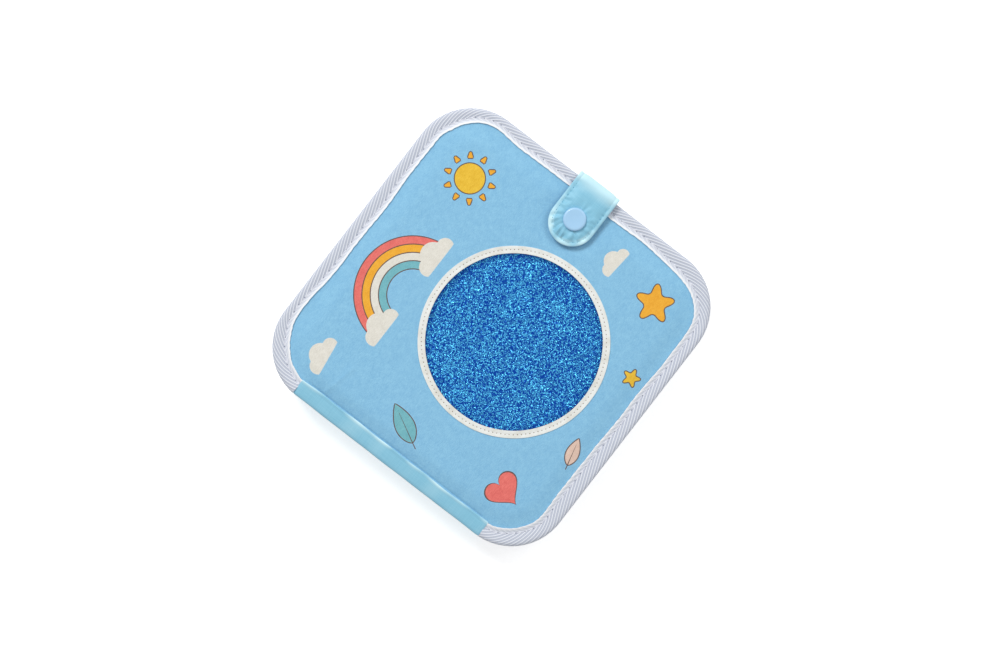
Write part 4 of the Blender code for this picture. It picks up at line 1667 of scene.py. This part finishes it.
    def creased_places(self) -> Array:
        """More places for the felt's mesh, where it bends sharply: at the band, the crease and the tape."""
        along = np.arange(-0.0655, 0.066, 0.0016)
        lines = [np.array([(self.outline.spine + off, y) for y in along]) for off in self.bend_lines]
        return np.concatenate([*lines, *self.crease.places(), self.rim_places()])

    def wadding_holes(self) -> tuple[Array, ...]:
        """The wadding is cut away behind the window and round the snap."""
        return circle(self.window.centre, self.window.outer + 0.0005, 72), circle(self.snap, 0.0067, 24)

    def build(self) -> None:
        """Makes the cover and its window."""
        super().build()
        self.window.tinsel()
        self.window.ring(self.surface(self.front))


class Texture(Enum):
    """What a touch patch is made of."""

    FLEECE = "fleece"
    CORDUROY = "corduroy"
    CANVAS = "canvas"


@dataclass
class TouchPatch:
    """A patch to feel, sewn on a face of an inner page. Its power shapes it, from circle to squircle."""

    node: str
    body: str
    slot: str
    texture: Texture
    facing: int
    power: float
    seed: int
    rib: float = 0.0026
    seam_inset: float = 0.0022
    curl_inset: float = 0.0012
    curl: tuple[float, float, float] = (0.0010, 0.0008, 0.00022)
    curls_per_area: float = 4.2e5

    def relief(self, x: Array, y: Array) -> Array:
        """How far the pile or the yarns are sunk below the patch's face, as a share of its thickness.

        Args:
            x: the places' x.
            y: the places' y.

        Returns:
            The share.
        """
        if self.texture is Texture.CORDUROY:
            return 0.62 * (1 - np.abs(np.sin(math.pi * x / self.rib))) ** 1.5
        if self.texture is Texture.CANVAS:
            return 0.3 - 0.3 * (np.cos(math.pi * x / self.rib) * np.cos(math.pi * y / self.rib))
        return 0.45 + Ripple(0.2, 0.006, self.seed)(x, y)

    def build(self) -> None:
        """Makes the patch and the stitches round it."""
        low, high = heights(self.node)
        (middle, _), reach = disc(self.node)
        grids = {Texture.CORDUROY: (204, 22), Texture.CANVAS: (100, 100), Texture.FLEECE: (60, 60)}
        columns, rows = grids[self.texture]
        side = np.sin(np.linspace(-1, 1, columns) * math.pi / 2 * 0.985)
        up = (1 - np.abs(side) ** self.power) ** (1 / self.power)
        x = middle + reach * np.repeat(side[:, None], rows, 1)
        y = reach * up[:, None] * np.linspace(-1, 1, rows)[None, :]
        inner, face = (low, high) if self.facing > 0 else (high, low)
        edge = np.minimum(1 - np.abs(np.linspace(-1, 1, rows))[None, :], (1 - np.abs(side))[:, None] * 2)
        sunk = np.clip(self.relief(x - middle, y) + 0.6 * (1 - ease(edge / 0.04)), 0, 0.85)
        surfaces = [rows_of(x, y, face + (inner - face) * sunk), rows_of(x, y, inner)]
        finish, grid = getattr(Cloths, self.texture.value), grid_faces(columns, rows)
        piece = shell(f"{self.node}_{self.texture.value}", *surfaces, grid, [finish], rows_of(x, y))
        dress(piece, self.slot, self.body, [self.node])
        curls = [self.curls(middle, reach, inner, face)] if self.texture is Texture.FLEECE else []
        turn = turns(96)
        out = (np.abs(np.cos(turn)) ** self.power + np.abs(np.sin(turn)) ** self.power) ** (1 / self.power)
        x, y = around((middle, 0.0), (reach - self.seam_inset) / out, turn)
        line = rows_of(x, y, face + (inner - face) * 0.3)
        sewn = Stitching(Cloths.white_thread, Cloths.tape_hole, 0.004, 0.003, 0.00016, 0.0002, 0.0, self.seed)
        stitches = sewn.sew(f"{self.node}_stitches", [line], self.slot, self.body, closed=True)

    def curls(self, middle: float, reach: float, inner: float, face: float) -> Piece:
        """The fleece's small curls.

        Args:
            middle: the patch's middle along X.
            reach: its radius.
            inner: the height of its back.
            face: the height of its face.

        Returns:
            The dressed curls.
        """
        def level(x: Array, y: Array) -> Array:
            return np.full(len(x), inner + (face - inner) * 0.62)

        cut = Cut(circle((middle, 0.0), reach - self.curl_inset, 72), spacing=0.005)
        ground = cut.laid(f"{self.node}_curls", level)
        work = bmesh.new()
        bmesh.ops.create_icosphere(work, subdivisions=1, radius=1.0)
        bmesh.ops.scale(work, vec=self.curl, verts=work.verts)
        mesh = bpy.data.meshes.new("curl")
        work.to_mesh(mesh)
        work.free()
        strewn = Strewn(self.curls_per_area, math.radians(5), self.seed, Cloths.fleece)
        return dress(strewn.over(ground, linked("curl", mesh)), self.slot, self.body)


@dataclass
class SpineBand:
    """The strip of cloth along the spine, with close rows in the creases between the leaves, where it bends.

    Each stretch is a piece of its own, because a piece can bend across one joint only. The stretches meet at
    the middle of a leaf.
    """

    leaves: tuple[str, ...]
    lip: float = 0.010
    fold: float = 0.0016
    thickness: float = 0.0005
    crease_half: float = 0.00025
    crease_rows: int = 16
    column: float = 0.0006
    crease_dip: Pair = (0.00028, 0.0004)
    hem: float = 0.0014
    hem_roll: float = 0.00035
    cut_dip: Pair = (0.0003, 0.0012)
    slack: Pair = (0.00022, 0.03)
    waver: Pair = (0.0005, 0.028)
    # The patches' length, and the hem's painted highlight: its least share and how far the patches raise it.
    tone_patch_length: float = 0.024
    patch: Pair = (0.45, 0.9)

    def __post_init__(self) -> None:
        """Measures the band's nodes, from the back cover up."""
        boxes = [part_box(f"{name}_spine_band") for name in self.leaves]
        self.x = boxes[1][0].x
        self.base, self.top = boxes[0][0].z, boxes[-1][1].z
        self.half = boxes[1][1].y + 0.0001
        self.creases = [(a[1].z + b[0].z) / 2 for a, b in zip(boxes, boxes[1:])]
        self.middles = [(low.z + high.z) / 2 for low, high in boxes]
        self.section = FoldedStrip(self.lip, self.fold, self.base, self.top)
        self.width = self.section.marks[-1]

    @staticmethod
    def fall(inset: Array) -> Array:
        """How far the laps sink towards the spine's rounded edge, given the way in from it."""
        return 0.0010 * np.clip(1 - inset / 0.010, 0, 1) ** 2

    def down(self, z: float) -> float:
        """The way across to a height on the spine's side."""
        return self.section.marks[1] + (self.top - self.fold - z)

    def across(self, high: float, low: float) -> Array:
        """The ways across of one stretch, close together in its crease.

        Args:
            high: where the stretch starts.
            low: where it ends.

        Returns:
            The ways across.
        """
        start = 0.0 if high >= self.top - self.fold else self.down(high)
        end = self.width if low <= self.base + self.fold else self.down(low)
        parts = [np.linspace(start, end, max(8, round((end - start) / self.column)))]
        for crease in self.creases:
            if low < crease < high:
                limits = self.down(crease + self.crease_half), self.down(crease - self.crease_half)
                parts.append(np.linspace(*limits, self.crease_rows))
        return np.unique(np.round(np.concatenate(parts), 8))

    def stretch(self, name: str, across: Array) -> Piece:
        """Makes one stretch.

        Args:
            name: the piece's name.
            across: its ways across.

        Returns:
            The piece.
        """
        inner = self.half - 0.0008
        ends = [-self.half, -self.half + 0.0003], [self.half - 0.0003, self.half]
        rows = np.concatenate([ends[0], np.linspace(-inner, inner, 108), ends[1]])[:, None]
        inset, height, turned = self.section.at(across)
        edge = np.minimum(across, self.width - across)
        sunk = self.sunk(rows, across[None, :], height)
        inset = inset + Ripple(*self.waver, 8)(rows, np.sign(height)) * np.clip(1 - edge / 0.004, 0, 1)
        middle = (self.base + self.top) / 2
        down_side = (self.top - middle - self.fold - np.abs(height - middle)) / 0.003
        fall = self.fall(inset) * (1 - ease(down_side)) * np.sign(height - middle)
        surfaces = []
        for depth in (sunk, np.full_like(sunk, self.thickness)):
            x = self.x + inset + np.sin(turned) * depth
            surfaces.append(rows_of(x, rows, height - fall - np.cos(turned) * depth))
        # Painted highlight along each rolled hem, uneven in patches, and faint uneven patches of paler tone
        # all over.
        patchy = Ripple(1.0, self.tone_patch_length, 41)(rows, across[None, :])
        hem = (1 - ease((edge - 0.0006) / 0.0016))[None, :]
        worn = np.clip((self.patch[0] + self.patch[1] * patchy) * hem + 0.3 * patchy, 0, 1)
        grid = grid_faces(len(rows), len(across))
        return shell(name, *surfaces, grid, [Cloths.aqua], rows_of(across[None, :], rows, worn))

    def sunk(self, y: Array, across: Array, height: Array) -> Array:
        """How far the outer face is sunk: in the creases, at the cut ends, and less at the rolled hems.

        Args:
            y: the ways along the spine.
            across: the ways across.
            height: the height of each way across.

        Returns:
            The depth.
        """
        edge = np.minimum(across, self.width - across)
        roll = self.hem_roll * np.sin(math.pi * np.clip(edge / self.hem, 0, 1)) ** 0.7
        depth, width = self.crease_dip
        folds = sum(depth * bump_at(height - crease, width) for crease in self.creases)
        ends = self.cut_dip[0] * (1 - ease((self.half - np.abs(y)) / self.cut_dip[1]))
        slack = Ripple(*self.slack, 31)(y, across * 1.5) * ease(edge / 0.003)
        all_told = folds + ends + slack - roll
        return np.where(height < self.base + 0.001, np.maximum(all_told, 0), all_told)

    def build(self) -> None:
        """Makes the four stretches, one piece each."""
        ends = [self.top, *self.middles[-2:0:-1], self.base]
        made = []
        for index, (high, low) in enumerate(zip(ends, ends[1:])):
            across = self.across(high, low)
            upper, lower = self.leaves[::-1][index:index + 2]
            piece = self.stretch(f"spine_band_{lower}_to_{upper}", across)
            crease = self.creases[::-1][index]
            start, end = ((self.x, 0, crease + side * self.crease_half) for side in (-1, 1))
            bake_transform(piece)
            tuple(start)
            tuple(end)
            taken = [f"{upper}_spine_band"] + ([f"{lower}_spine_band"] if lower == self.leaves[0] else [])
            dress(piece, "aqua_cloth", None, taken)
            made.append((piece, float(across[-1] - across[0]), [f"{lower}_tape", f"{upper}_tape"]))
        for whole, narrow in ((0, 1), (-1, -2)):
            piece, length, under = made[whole]


@dataclass
class Strap:
    """The strap: two cloths sewn and turned, from the back cover's seam over the fore edge to the snap.

    Its cloth puffs up between the seam and the snap, is gathered beside the seam, fans out round the snap and
    droops at its edge. Where two numbers go together, they are a height and a width or a length.
    """

    thickness: float = 0.0014
    fold: float = 0.0021
    upper_fold: float = 0.0034
    seam: float = 0.0023
    seam_dip: Pair = (0.00030, 0.00055)
    puff: Pair = (0.00035, 0.004)
    pucker: Pair = (0.00168, 0.0058)
    gathered: Pair = (0.0042, 0.0026)
    fan: float = 0.00016
    fanned: Pair = (0.0090, 0.0030)
    crimp: Pair = (0.00016, 0.0029)
    crimped: Pair = (0.0026, 0.0013)
    uneven: Pair = (0.00032, 0.010)
    droop: Pair = (0.0010, 0.0085)
    # Where the painted highlight on the upper fold wavers and how strong it is; round the tab's edge, a
    # painted highlight with uneven wear.
    fold_highlight_waver: Pair = (0.0014, 0.009)
    fold_highlight: float = 0.95
    flange_highlight_and_wear: Pair = (0.26, 0.5)
    step: float = 0.0006

    def __post_init__(self) -> None:
        """Measures the strap's nodes and the snap's place."""
        base, side, tab = (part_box(name) for name in ("strap_base", "strap_side_cloth", "strap_tab_cloth"))
        self.start = base[0].x
        self.low = (base[0].z + base[1].z) / 2
        self.high = (heights("strap_tab_lining")[0] + tab[1].z) / 2
        self.out = (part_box("strap_side_lining")[0].x + side[1].x) / 2
        self.tip = tab[0].x
        self.half = side[1].y
        self.snap_x = disc("snap_cap")[0][0]
        flat = self.out - self.start - self.fold
        rise = self.high - self.low - self.fold - self.upper_fold
        self.stretches = (flat, rise, self.out - self.upper_fold - self.tip)
        self.length = sum(self.stretches) + (self.fold + self.upper_fold) * math.pi / 2
        self.round_start = self.length - self.half

    def line(self, run: Array) -> tuple[Array, Array, Array]:
        """The strap's middle line.

        Args:
            run: the ways along it from the seam.

        Returns:
            X, Z and how far it has turned, from 0 under the book to half a turn on top of it.
        """
        flat, side, _ = self.stretches
        lower, upper = self.fold * math.pi / 2, self.upper_fold * math.pi / 2
        a = np.clip((run - flat) / self.fold, 0, math.pi / 2)
        b = np.clip((run - flat - lower - side) / self.upper_fold, 0, math.pi / 2)
        rest = np.maximum(run - flat - lower - upper - side, 0)
        x = self.start + np.minimum(run, flat) + self.fold * np.sin(a)
        x = x - self.upper_fold * (1 - np.cos(b)) - rest
        z = self.low + self.fold * (1 - np.cos(a)) + np.clip(run - flat - lower, 0, side)
        return x, z + self.upper_fold * np.sin(b), a + b

    def rounded(self, run: Array, across: Array) -> tuple[Array, Array, Array]:
        """Draws the square end of a grid in to the round end of the strap.

        Args:
            run: the ways along.
            across: the ways across.

        Returns:
            The new ways along and across, and how far each place is in from the strap's edge.
        """
        past, off = np.maximum(run - self.round_start, 0), np.abs(across)
        share = np.maximum(past, off) / np.maximum(np.hypot(past, off), TINY)
        share = np.where(past > 0, share, 1.0)
        past, off = past * share, off * share
        edge = np.where(past > 0, self.half - np.hypot(past, off), self.half - off)
        return np.minimum(run, self.round_start) + past, np.sign(across) * off, np.maximum(edge, 0)

    def relief(self, run: Array, across: Array, edge: Array, x: Array) -> tuple[Array, Array]:
        """How far the strap's cloth stands out between its seam, its snap and its edge.

        Args:
            run: the ways along.
            across: the ways across.
            edge: how far each place is in from the edge.
            x: the places' x.

        Returns:
            What the outer cloth alone does, and what both cloths do.
        """
        on_tab = ease((run - (self.length - self.stretches[2]) + 0.002) / 0.006)
        from_snap, turn = np.hypot(x - self.snap_x, across), np.arctan2(across, x - self.snap_x)
        seam = self.seam_dip[0] * bump_at(edge - self.seam, self.seam_dip[1])
        puff = self.puff[0] * ease((edge - self.seam) / self.puff[1]) * ease((from_snap - 0.0062) / 0.004)
        puff = puff * ease((run - self.stretches[0]) / 0.006)
        past = np.maximum(run - self.length + self.half, 0)
        by_seam = run - past + self.half * np.arctan2(past, np.maximum(np.abs(across), TINY)) + 0.6 * edge
        drawn = Ripple(*self.pucker, 27)(by_seam * np.sign(across), 0 * by_seam)
        drawn = drawn * np.where(across > 0, 1.0, 0.75)
        beside = bump_at(edge - self.gathered[0], self.gathered[1])
        gathers = drawn * beside * ease((self.snap_x + 0.011 - x) / 0.006) * on_tab
        fan = np.sin(11 * turn + 1.3 * np.sin(3 * turn) + 0.8) + 0.6 * np.sin(19 * turn + 1.7)
        fan = self.fan * fan * bump_at(from_snap - self.fanned[0], self.fanned[1]) * ease(edge / 0.0018)
        gathers = gathers + fan * on_tab
        crimp = self.crimp[0] * np.sin(run * TWO_PI / self.crimp[1] + 2.2 * np.sin(run * 330))
        crimp = crimp * bump_at(edge - self.crimped[0], self.crimped[1])
        uneven = Ripple(*self.uneven, 17)(run, across) * ease((edge - 0.001) / 0.003)
        return puff - seam + crimp * on_tab, gathers + uneven * on_tab

    def painted_highlight_and_wear(self, run: Array, across: Array, edge: Array, x: Array) -> Array:
        """How pale the cloth is: painted highlight on the upper fold, and with uneven wear round the tab's
        flange.

        Args:
            run: the ways along.
            across: the ways across.
            edge: how far each place is in from the edge.
            x: the places' x.

        Returns:
            The paleness, from 0 to 1.
        """
        on_tab = ease((run - (self.length - self.stretches[2]) + 0.002) / 0.006)
        crest = self.length - self.stretches[2] - self.upper_fold
        off = run - crest + Ripple(*self.fold_highlight_waver, 5)(run, across)
        # A painted highlight along the upper fold's crest.
        by_fold = (1 - ease(off / 0.0100)) * (1 - ease(-(off + 0.001) / 0.0035))
        # A painted highlight round the tab's edge, stronger towards the tip, made uneven as worn cloth is.
        by_tip = ease((self.snap_x + 0.004 - x) / 0.010) * np.where(across > 0, 0.75, 1.0)
        rubbed = 0.8 + 1.1 * Ripple(1.0, 0.009, 37)(run, across)
        flange = (self.flange_highlight_and_wear[0] + self.flange_highlight_and_wear[1] * by_tip) * rubbed
        flange = flange * (1 - ease((edge - 0.0012 - 0.0012 * by_tip) / 0.0018))
        return np.clip(np.maximum(flange * on_tab, self.fold_highlight * by_fold), 0, 1)

    def faces(self, run: Array, across: Array) -> tuple[Array, Array, Array]:
        """The outer and inner faces of the strap.

        Args:
            run: the ways along.
            across: the ways across.

        Returns:
            One line a place: those on the outer face, those on the inner face, and the cloth's map and
                paleness.
        """
        run, across, edge = self.rounded(run, across)
        x, z, turned = self.line(run)
        alone, both = self.relief(run, across, edge, x)
        on_tab = ease((run - (self.length - self.stretches[2]) + 0.002) / 0.006)
        from_snap = np.hypot(x - self.snap_x, across)
        lower = self.droop[0] * on_tab * (1 - ease((edge - 0.0005) / self.droop[1]))
        lower = lower * ease((from_snap - 0.007) / 0.006)
        rim = np.sqrt(1 - (1 - np.clip(edge / (self.thickness * 0.55), 0.05, 1)) ** 2)
        sides = []
        for height in (self.thickness / 2 * rim + alone + both, -self.thickness / 2 * rim + 0.5 * both):
            sides.append(rows_of(x + np.sin(turned) * height, across, z - lower - np.cos(turned) * height))
        return sides[0], sides[1], rows_of(run, across, self.painted_highlight_and_wear(run, across, edge, x))

    def build(self) -> None:
        """Makes the strap in two pieces that meet halfway up its side, and sews its edge."""
        flat, side, _ = self.stretches
        middle = flat + self.fold * math.pi / 2 + side / 2
        edge = np.array([1, 0.985, 0.96])
        across = np.concatenate([-edge, np.linspace(-0.925, 0.925, 41), edge[::-1]]) * self.half
        tab = ["strap_side_cloth", "strap_side_lining", "strap_tab_cloth", "strap_tab_lining"]
        parts = (
            ("strap_base_and_side", 0.0, middle, "back_cover", "strap_side", ["strap_base"], "back_cover"),
            ("strap_side_and_tab", middle, self.length, "strap_side", "strap_tab", tab, "front_cover"),
        )
        for (name, start, end, below, above, nodes, under), crease in zip(parts, self.hinges()):
            runs = np.linspace(start, end, round((end - start) / self.step))
            if end == self.length:
                runs = np.concatenate([runs[:-1], [end - 0.0004, end - 0.00015, end]])
            outer, inner, cloth = self.faces(*np.meshgrid(runs, across, indexing="ij"))
            piece = shell(name, outer, inner, grid_faces(len(runs), len(across)), [Cloths.aqua], cloth)
            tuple(crease[0])
            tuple(crease[1])
            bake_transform(piece)
            dress(piece, "aqua_cloth", None, nodes)
        self.sew()

    def hinges(self) -> tuple[tuple, tuple]:
        """Where the strap starts and ends to bend, at the lower and at the upper crease."""
        joints = {joint["name"]: joint["pos_m"] for joint in frame["joints"]}
        low, high = joints["strap_side_fold"][2], joints["strap_tab_fold"][2]
        lower = ((self.out - 0.0018, 0, low - 0.0012), (self.out + 0.0002, 0, low + 0.0028))
        upper = ((self.out + 0.0002, 0, high - 0.0026), (self.out - 0.0020, 0, high + 0.0016))
        return lower, upper

    def sew(self) -> None:
        """Sews round the strap's edge, on the side and on the tab."""
        sewn = Stitching(Cloths.aqua_thread, Cloths.aqua_hole, 0.0027, 0.0021, 0.00014, 0.00024, 0.00004, 13)
        flat, side, _ = self.stretches
        crease, inner = flat + self.fold * math.pi / 2, self.half - self.seam
        up = np.linspace(crease + 0.003, crease + side - 0.003, 20)
        lines = [self.on_outer_face(up, np.full(20, way * inner)) for way in (-1, 1)]
        sewn.sew("strap_side_stitches", lines, "aqua_cloth", "strap_side")
        first = crease + side + math.pi / 2 * self.upper_fold + 0.0025
        straight = np.linspace(first, self.round_start, 24)
        turn = np.linspace(-math.pi / 2, math.pi / 2, 32)[1:-1]
        run = np.concatenate([straight, self.round_start + inner * np.cos(turn), straight[::-1]])
        wide = np.concatenate([np.full(24, -inner), inner * np.sin(turn), np.full(24, inner)])
        sewn.sew("strap_tab_stitches", [self.on_outer_face(run, wide)], "aqua_cloth", "strap_tab")

    def on_outer_face(self, run: Array, across: Array) -> Array:
        """Places on the outer face, given where they are on the round-ended strap itself.

        Args:
            run: the ways along.
            across: the ways across.

        Returns:
            One line a place.
        """
        past, off = np.maximum(run - self.round_start, 0), np.abs(across)
        share = np.hypot(past, off) / np.maximum(np.maximum(past, off), TINY)
        share = np.where(past > 0, share, 1.0)
        return self.faces(np.minimum(run, self.round_start) + past * share, np.sign(across) * off * share)[0]


@dataclass
class Snap:
    """The snap fastener's four moulded pieces, each turned about its own axis.

    The pin goes through the cloth and its rivet spreads beyond it. The plate is each moulding's flat part.
    """

    sides: int = 64
    edge: float = 0.00035
    pin: float = 0.0010
    rivet: float = 0.0018
    hole: float = 0.0013
    bore: float = 0.0031
    boss: float = 0.0028
    well: float = 0.0021
    plate: float = 0.0005
    back: float = 0.0009

    def turned(self, name: str, node: str, body: str, profile: list[Pair]) -> None:
        """Makes one piece from its section.

        Args:
            name: the piece's name.
            node: the node that it stands for.
            body: the body that it rides on.
            profile: radius and height of each corner, all round the section.
        """
        section = self.rounded(np.array(profile))
        turn, count = turns(self.sides)[:, None], len(section)
        points = rows_of(*around(disc(node)[0], section[None, :, 0], turn), section[None, :, 1])
        last = np.stack([np.arange(self.sides) * count + i for i in (count - 1, 0)], 1)
        ring = np.concatenate([last, np.roll(last, -1, 0)[:, ::-1]], 1)
        faces = np.concatenate([grid_faces(self.sides, count, closed=True), ring])
        piece = finished(name, points, faces, [Cloths.snap])
        work = bmesh.new()
        work.from_mesh(piece.data)
        bmesh.ops.remove_doubles(work, verts=work.verts, dist=1e-7)
        bmesh.ops.dissolve_degenerate(work, edges=work.edges, dist=1e-8)
        bmesh.ops.recalc_face_normals(work, faces=work.faces[:])
        work.to_mesh(piece.data)
        work.free()
        dress(piece, "snap_plastic", body, [node])

    def rounded(self, profile: Array) -> Array:
        """Rounds each corner of a section that isn't on the axis.

        Args:
            profile: radius and height of each corner.

        Returns:
            The rounded section.
        """
        points = []
        for before, corner, after in zip(np.roll(profile, 1, 0), profile, np.roll(profile, -1, 0)):
            if corner[0] < TINY:
                points.append(corner)
                continue
            ways = [before - corner, after - corner]
            lengths = [np.linalg.norm(way) for way in ways]
            cut = min(self.edge, *(0.4 * length for length in lengths))
            ends = [corner + way / length * cut for way, length in zip(ways, lengths)]
            for t in np.linspace(0, 1, 5):
                points.append((1 - t) ** 2 * ends[0] + 2 * t * (1 - t) * corner + t * t * ends[1])
        return np.array(points)

    def build(self) -> None:
        """Makes the cap, the socket, the stud and the stud's cap."""
        pin, rivet, hole, plate = self.pin, self.rivet, self.hole, self.plate
        under = heights("strap_tab_cloth")[1] + 0.0001
        (low, top), (_, reach) = heights("snap_cap"), disc("snap_cap")
        cap = [(0, top - 0.00030), (reach * 0.3, top - 0.00026), (reach * 0.6, top - 0.00012)]
        cap += [(reach * 0.82, top), (reach * 0.90, top - 0.00012), (reach * 0.975, top - 0.00045)]
        cap += [(reach, top - 0.0010), (reach * 0.985, under), (pin, under), (pin, low + plate)]
        cap += [(rivet, low + plate), (rivet, low), (0, low)]
        self.turned("snap_cap_button", "snap_cap", "strap_tab", cap)
        (low, top), (_, reach) = heights("snap_socket"), disc("snap_socket")
        bore, roof = self.bore, top - plate
        socket = [(hole, top), (reach, top), (reach, low), (bore, low), (bore, roof), (hole, roof)]
        self.turned("snap_socket_moulding", "snap_socket", "strap_tab", socket)
        (low, top), (_, reach) = heights("snap_stud"), disc("snap_stud")
        boss, well, face = self.boss, self.well, low + plate
        stud = [(hole, low), (reach, low), (reach, face), (boss, face), (boss, top), (well, top)]
        self.turned("snap_stud_moulding", "snap_stud", "front_cover", [*stud, (well, face), (hole, face)])
        (low, top), (_, reach) = heights("snap_stud_cap"), disc("snap_stud_cap")
        back = [(0, low), (reach, low), (reach, low + self.back), (pin, low + self.back), (pin, top - plate)]
        back += [(rivet, top - plate), (rivet, top), (0, top)]
        self.turned("snap_stud_back", "snap_stud_cap", "front_cover", back)


@dataclass
class Studio:
    """A white table, soft light from the picture's upper left, and the camera above the book.

    The picture is 1000 by 666 pixels. The book's middle and its scale in it give the camera's place. A lamp's
    way is given along the picture's right, along its up and towards the camera.
    """

    picture: tuple[int, int] = (1000, 666)
    middle_pixel: Pair = (491.4, 327.1)
    pixels_per_metre: float = 1740.0
    roll: float = math.radians(52.3)
    lens: float = 85.0
    sensor: float = 36.0
    lamp_distance: float = 2.6
    table_half: float = 6.0
    table_drop: float = 0.0002

    def __post_init__(self) -> None:
        """Works out which ways the picture's right and up are."""
        self.right = Vector((math.cos(self.roll), -math.sin(self.roll), 0))
        self.up = Vector((math.sin(self.roll), math.cos(self.roll), 0))

    def camera(self, outline: Outline, top: float) -> None:
        """Hangs the camera over the front cover, turned so that the book lies as photographed.

        Args:
            outline: the leaf's outline.
            top: the height of the front cover.
        """
        data = bpy.data.cameras.new("camera")
        data.lens, data.sensor_width = self.lens, self.sensor
        data.clip_start, data.clip_end = 0.05, 20.0
        across = (self.middle_pixel[0] - self.picture[0] / 2) / self.pixels_per_metre
        rise = (self.picture[1] / 2 - self.middle_pixel[1]) / self.pixels_per_metre
        away = self.picture[0] / self.pixels_per_metre * self.lens / self.sensor
        place = Vector((outline.centre, 0, top + away)) - self.right * across - self.up * rise
        turned = Matrix((self.right, self.up, (0, 0, 1))).transposed().to_4x4()
        camera = linked("camera", data)
        camera.matrix_world = Matrix.Translation(place) @ turned
        bpy.context.scene.camera = camera

    def lamp(self, name: str, right: float, up: float, forward: float, size: float, power: float) -> None:
        """Adds one soft lamp that faces the book.

        Args:
            name: its name.
            right: how far to the picture's right it is.
            up: how far to the picture's top it is.
            forward: how far above the book it is.
            size: the side of its square panel.
            power: its power in watts.
        """
        data = bpy.data.lights.new(name, "AREA")
        data.size, data.energy = size, power
        way = self.up * up + self.right * right + Vector((0, 0, forward))
        lamp = linked(name, data)
        lamp.location = way.normalized() * self.lamp_distance
        lamp.rotation_euler = way.to_track_quat("Z", "Y").to_euler()

    def surround(self) -> None:
        """A white surround that lights the book at half the strength that it is seen with."""
        world = bpy.data.worlds.new("white_surround")
        bpy.context.scene.world = world
        world.use_nodes = True
        tree = world.node_tree
        ground = tree.nodes["Background"]
        path = add_node(tree, "ShaderNodeLightPath")
        kinds = ("Camera", "Glossy", "Transmission")
        camera, glossy, through = (path.outputs[f"Is {kind} Ray"] for kind in kinds)
        seen = add_node(tree, MATH, {0: camera, 1: glossy}, operation="MAXIMUM")
        seen = add_node(tree, MATH, {0: seen, 1: through}, operation="MAXIMUM")
        strength = add_node(tree, RANGE, {"Value": seen, "To Min": 0.50, "To Max": 1.0})
        ground.inputs["Color"].default_value = (1, 1, 1, 1)
        tree.links.new(strength.outputs[0], ground.inputs["Strength"])

    def table(self) -> None:
        """A white table top, just under the book, which the camera sees as bright as the surround."""
        half = self.table_half
        mesh = bpy.data.meshes.new("table_top")
        corners = [(-half, -half, 0), (half, -half, 0), (half, half, 0), (-half, half, 0)]
        mesh.from_pydata(corners, [], [(0, 1, 2, 3)])
        table = linked("table_top", mesh)
        table.location.z = -self.table_drop
        material = bpy.data.materials.new("white_laminate")
        material.use_nodes = True
        tree = material.node_tree
        shader = tree.nodes["Principled BSDF"]
        values = {"Base Color": (0.9, 0.9, 0.9, 1), "Roughness": 0.6, "Specular IOR Level": 0.0}
        for name, value in values.items():
            shader.inputs[name].default_value = value
        seen = add_node(tree, "ShaderNodeLightPath").outputs["Is Camera Ray"]
        glow = add_node(tree, "ShaderNodeEmission", {"Color": (1, 1, 1, 1), "Strength": 0.5})
        both = add_node(tree, "ShaderNodeAddShader", {0: shader, 1: glow})
        pick = add_node(tree, "ShaderNodeMixShader", {0: seen, 1: shader, 2: both})
        tree.links.new(pick.outputs[0], tree.nodes["Material Output"].inputs[0])
        mesh.materials.append(material)

    def build(self, outline: Outline, top: float) -> None:
        """Sets up the camera, the key lamp at the picture's upper left, a weak fill lamp and the rest."""
        self.camera(outline, top)
        self.lamp("key_lamp", -0.55, 1.0, 1.15, 0.85, 36.0)
        self.lamp("fill_lamp", 0.85, 0.5, 0.9, 1.2, 12.0)
        self.surround()
        self.table()
        bpy.context.scene.view_settings.view_transform = "Standard"


def page_outline() -> Outline:
    """The outline of the leaves, measured on the frame."""
    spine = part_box("page_2_spine_band")[0].x
    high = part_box("page_2_binding")[1]
    return Outline((spine + high.x) / 2, (high.x - spine) / 2, high.y)


def main() -> None:
    """Builds the book's visible pieces, from the back cover up, and the studio round them."""
    logging.basicConfig(level=logging.INFO, format="%(name)s: %(message)s")
    outline = page_outline()
    Studio().build(outline, heights("front_cover_binding")[1])
    cover = Side("back_cover_felt", Cloths.cover, "cover_felt", -1)
    lining = Side("back_cover_lining", Cloths.lining, "lining_felt", 1)
    held_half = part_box("strap_base")[1].y
    Leaf("back_cover", outline, cover, lining, seed=1, held_half=held_half, banded=-1).build()
    textures = {1: (Texture.FLEECE, 2.0), 2: (Texture.CORDUROY, 4.0), 3: (Texture.CANVAS, 2.6)}
    for number, (texture, power) in textures.items():
        name, felt = f"page_{number}", Cloths.pages[number]
        ways = (("back", -1), ("front", 1))
        faces = {face: Side(f"{name}_{face}_felt", felt, f"{name}_felt", way) for face, way in ways}
        Leaf(name, outline, **faces, seed=10 * number).build()
        for face, side in faces.items():
            node, seed = f"{name}_{face}_patch", 10 * number + side.facing
            TouchPatch(node, name, f"{name}_patch", texture, side.facing, power, seed).build()
    lining = Side("front_cover_lining", Cloths.lining, "lining_felt", -1)
    cover = Side("front_cover_felt", Cloths.cover, "cover_felt", 1)
    FrontCover("front_cover", outline, lining, cover, seed=50, banded=1).build()
    SpineBand(("back_cover", "page_3", "page_2", "page_1", "front_cover")).build()
    Strap().build()
    Snap().build()


if __name__ == "__main__":
    main()
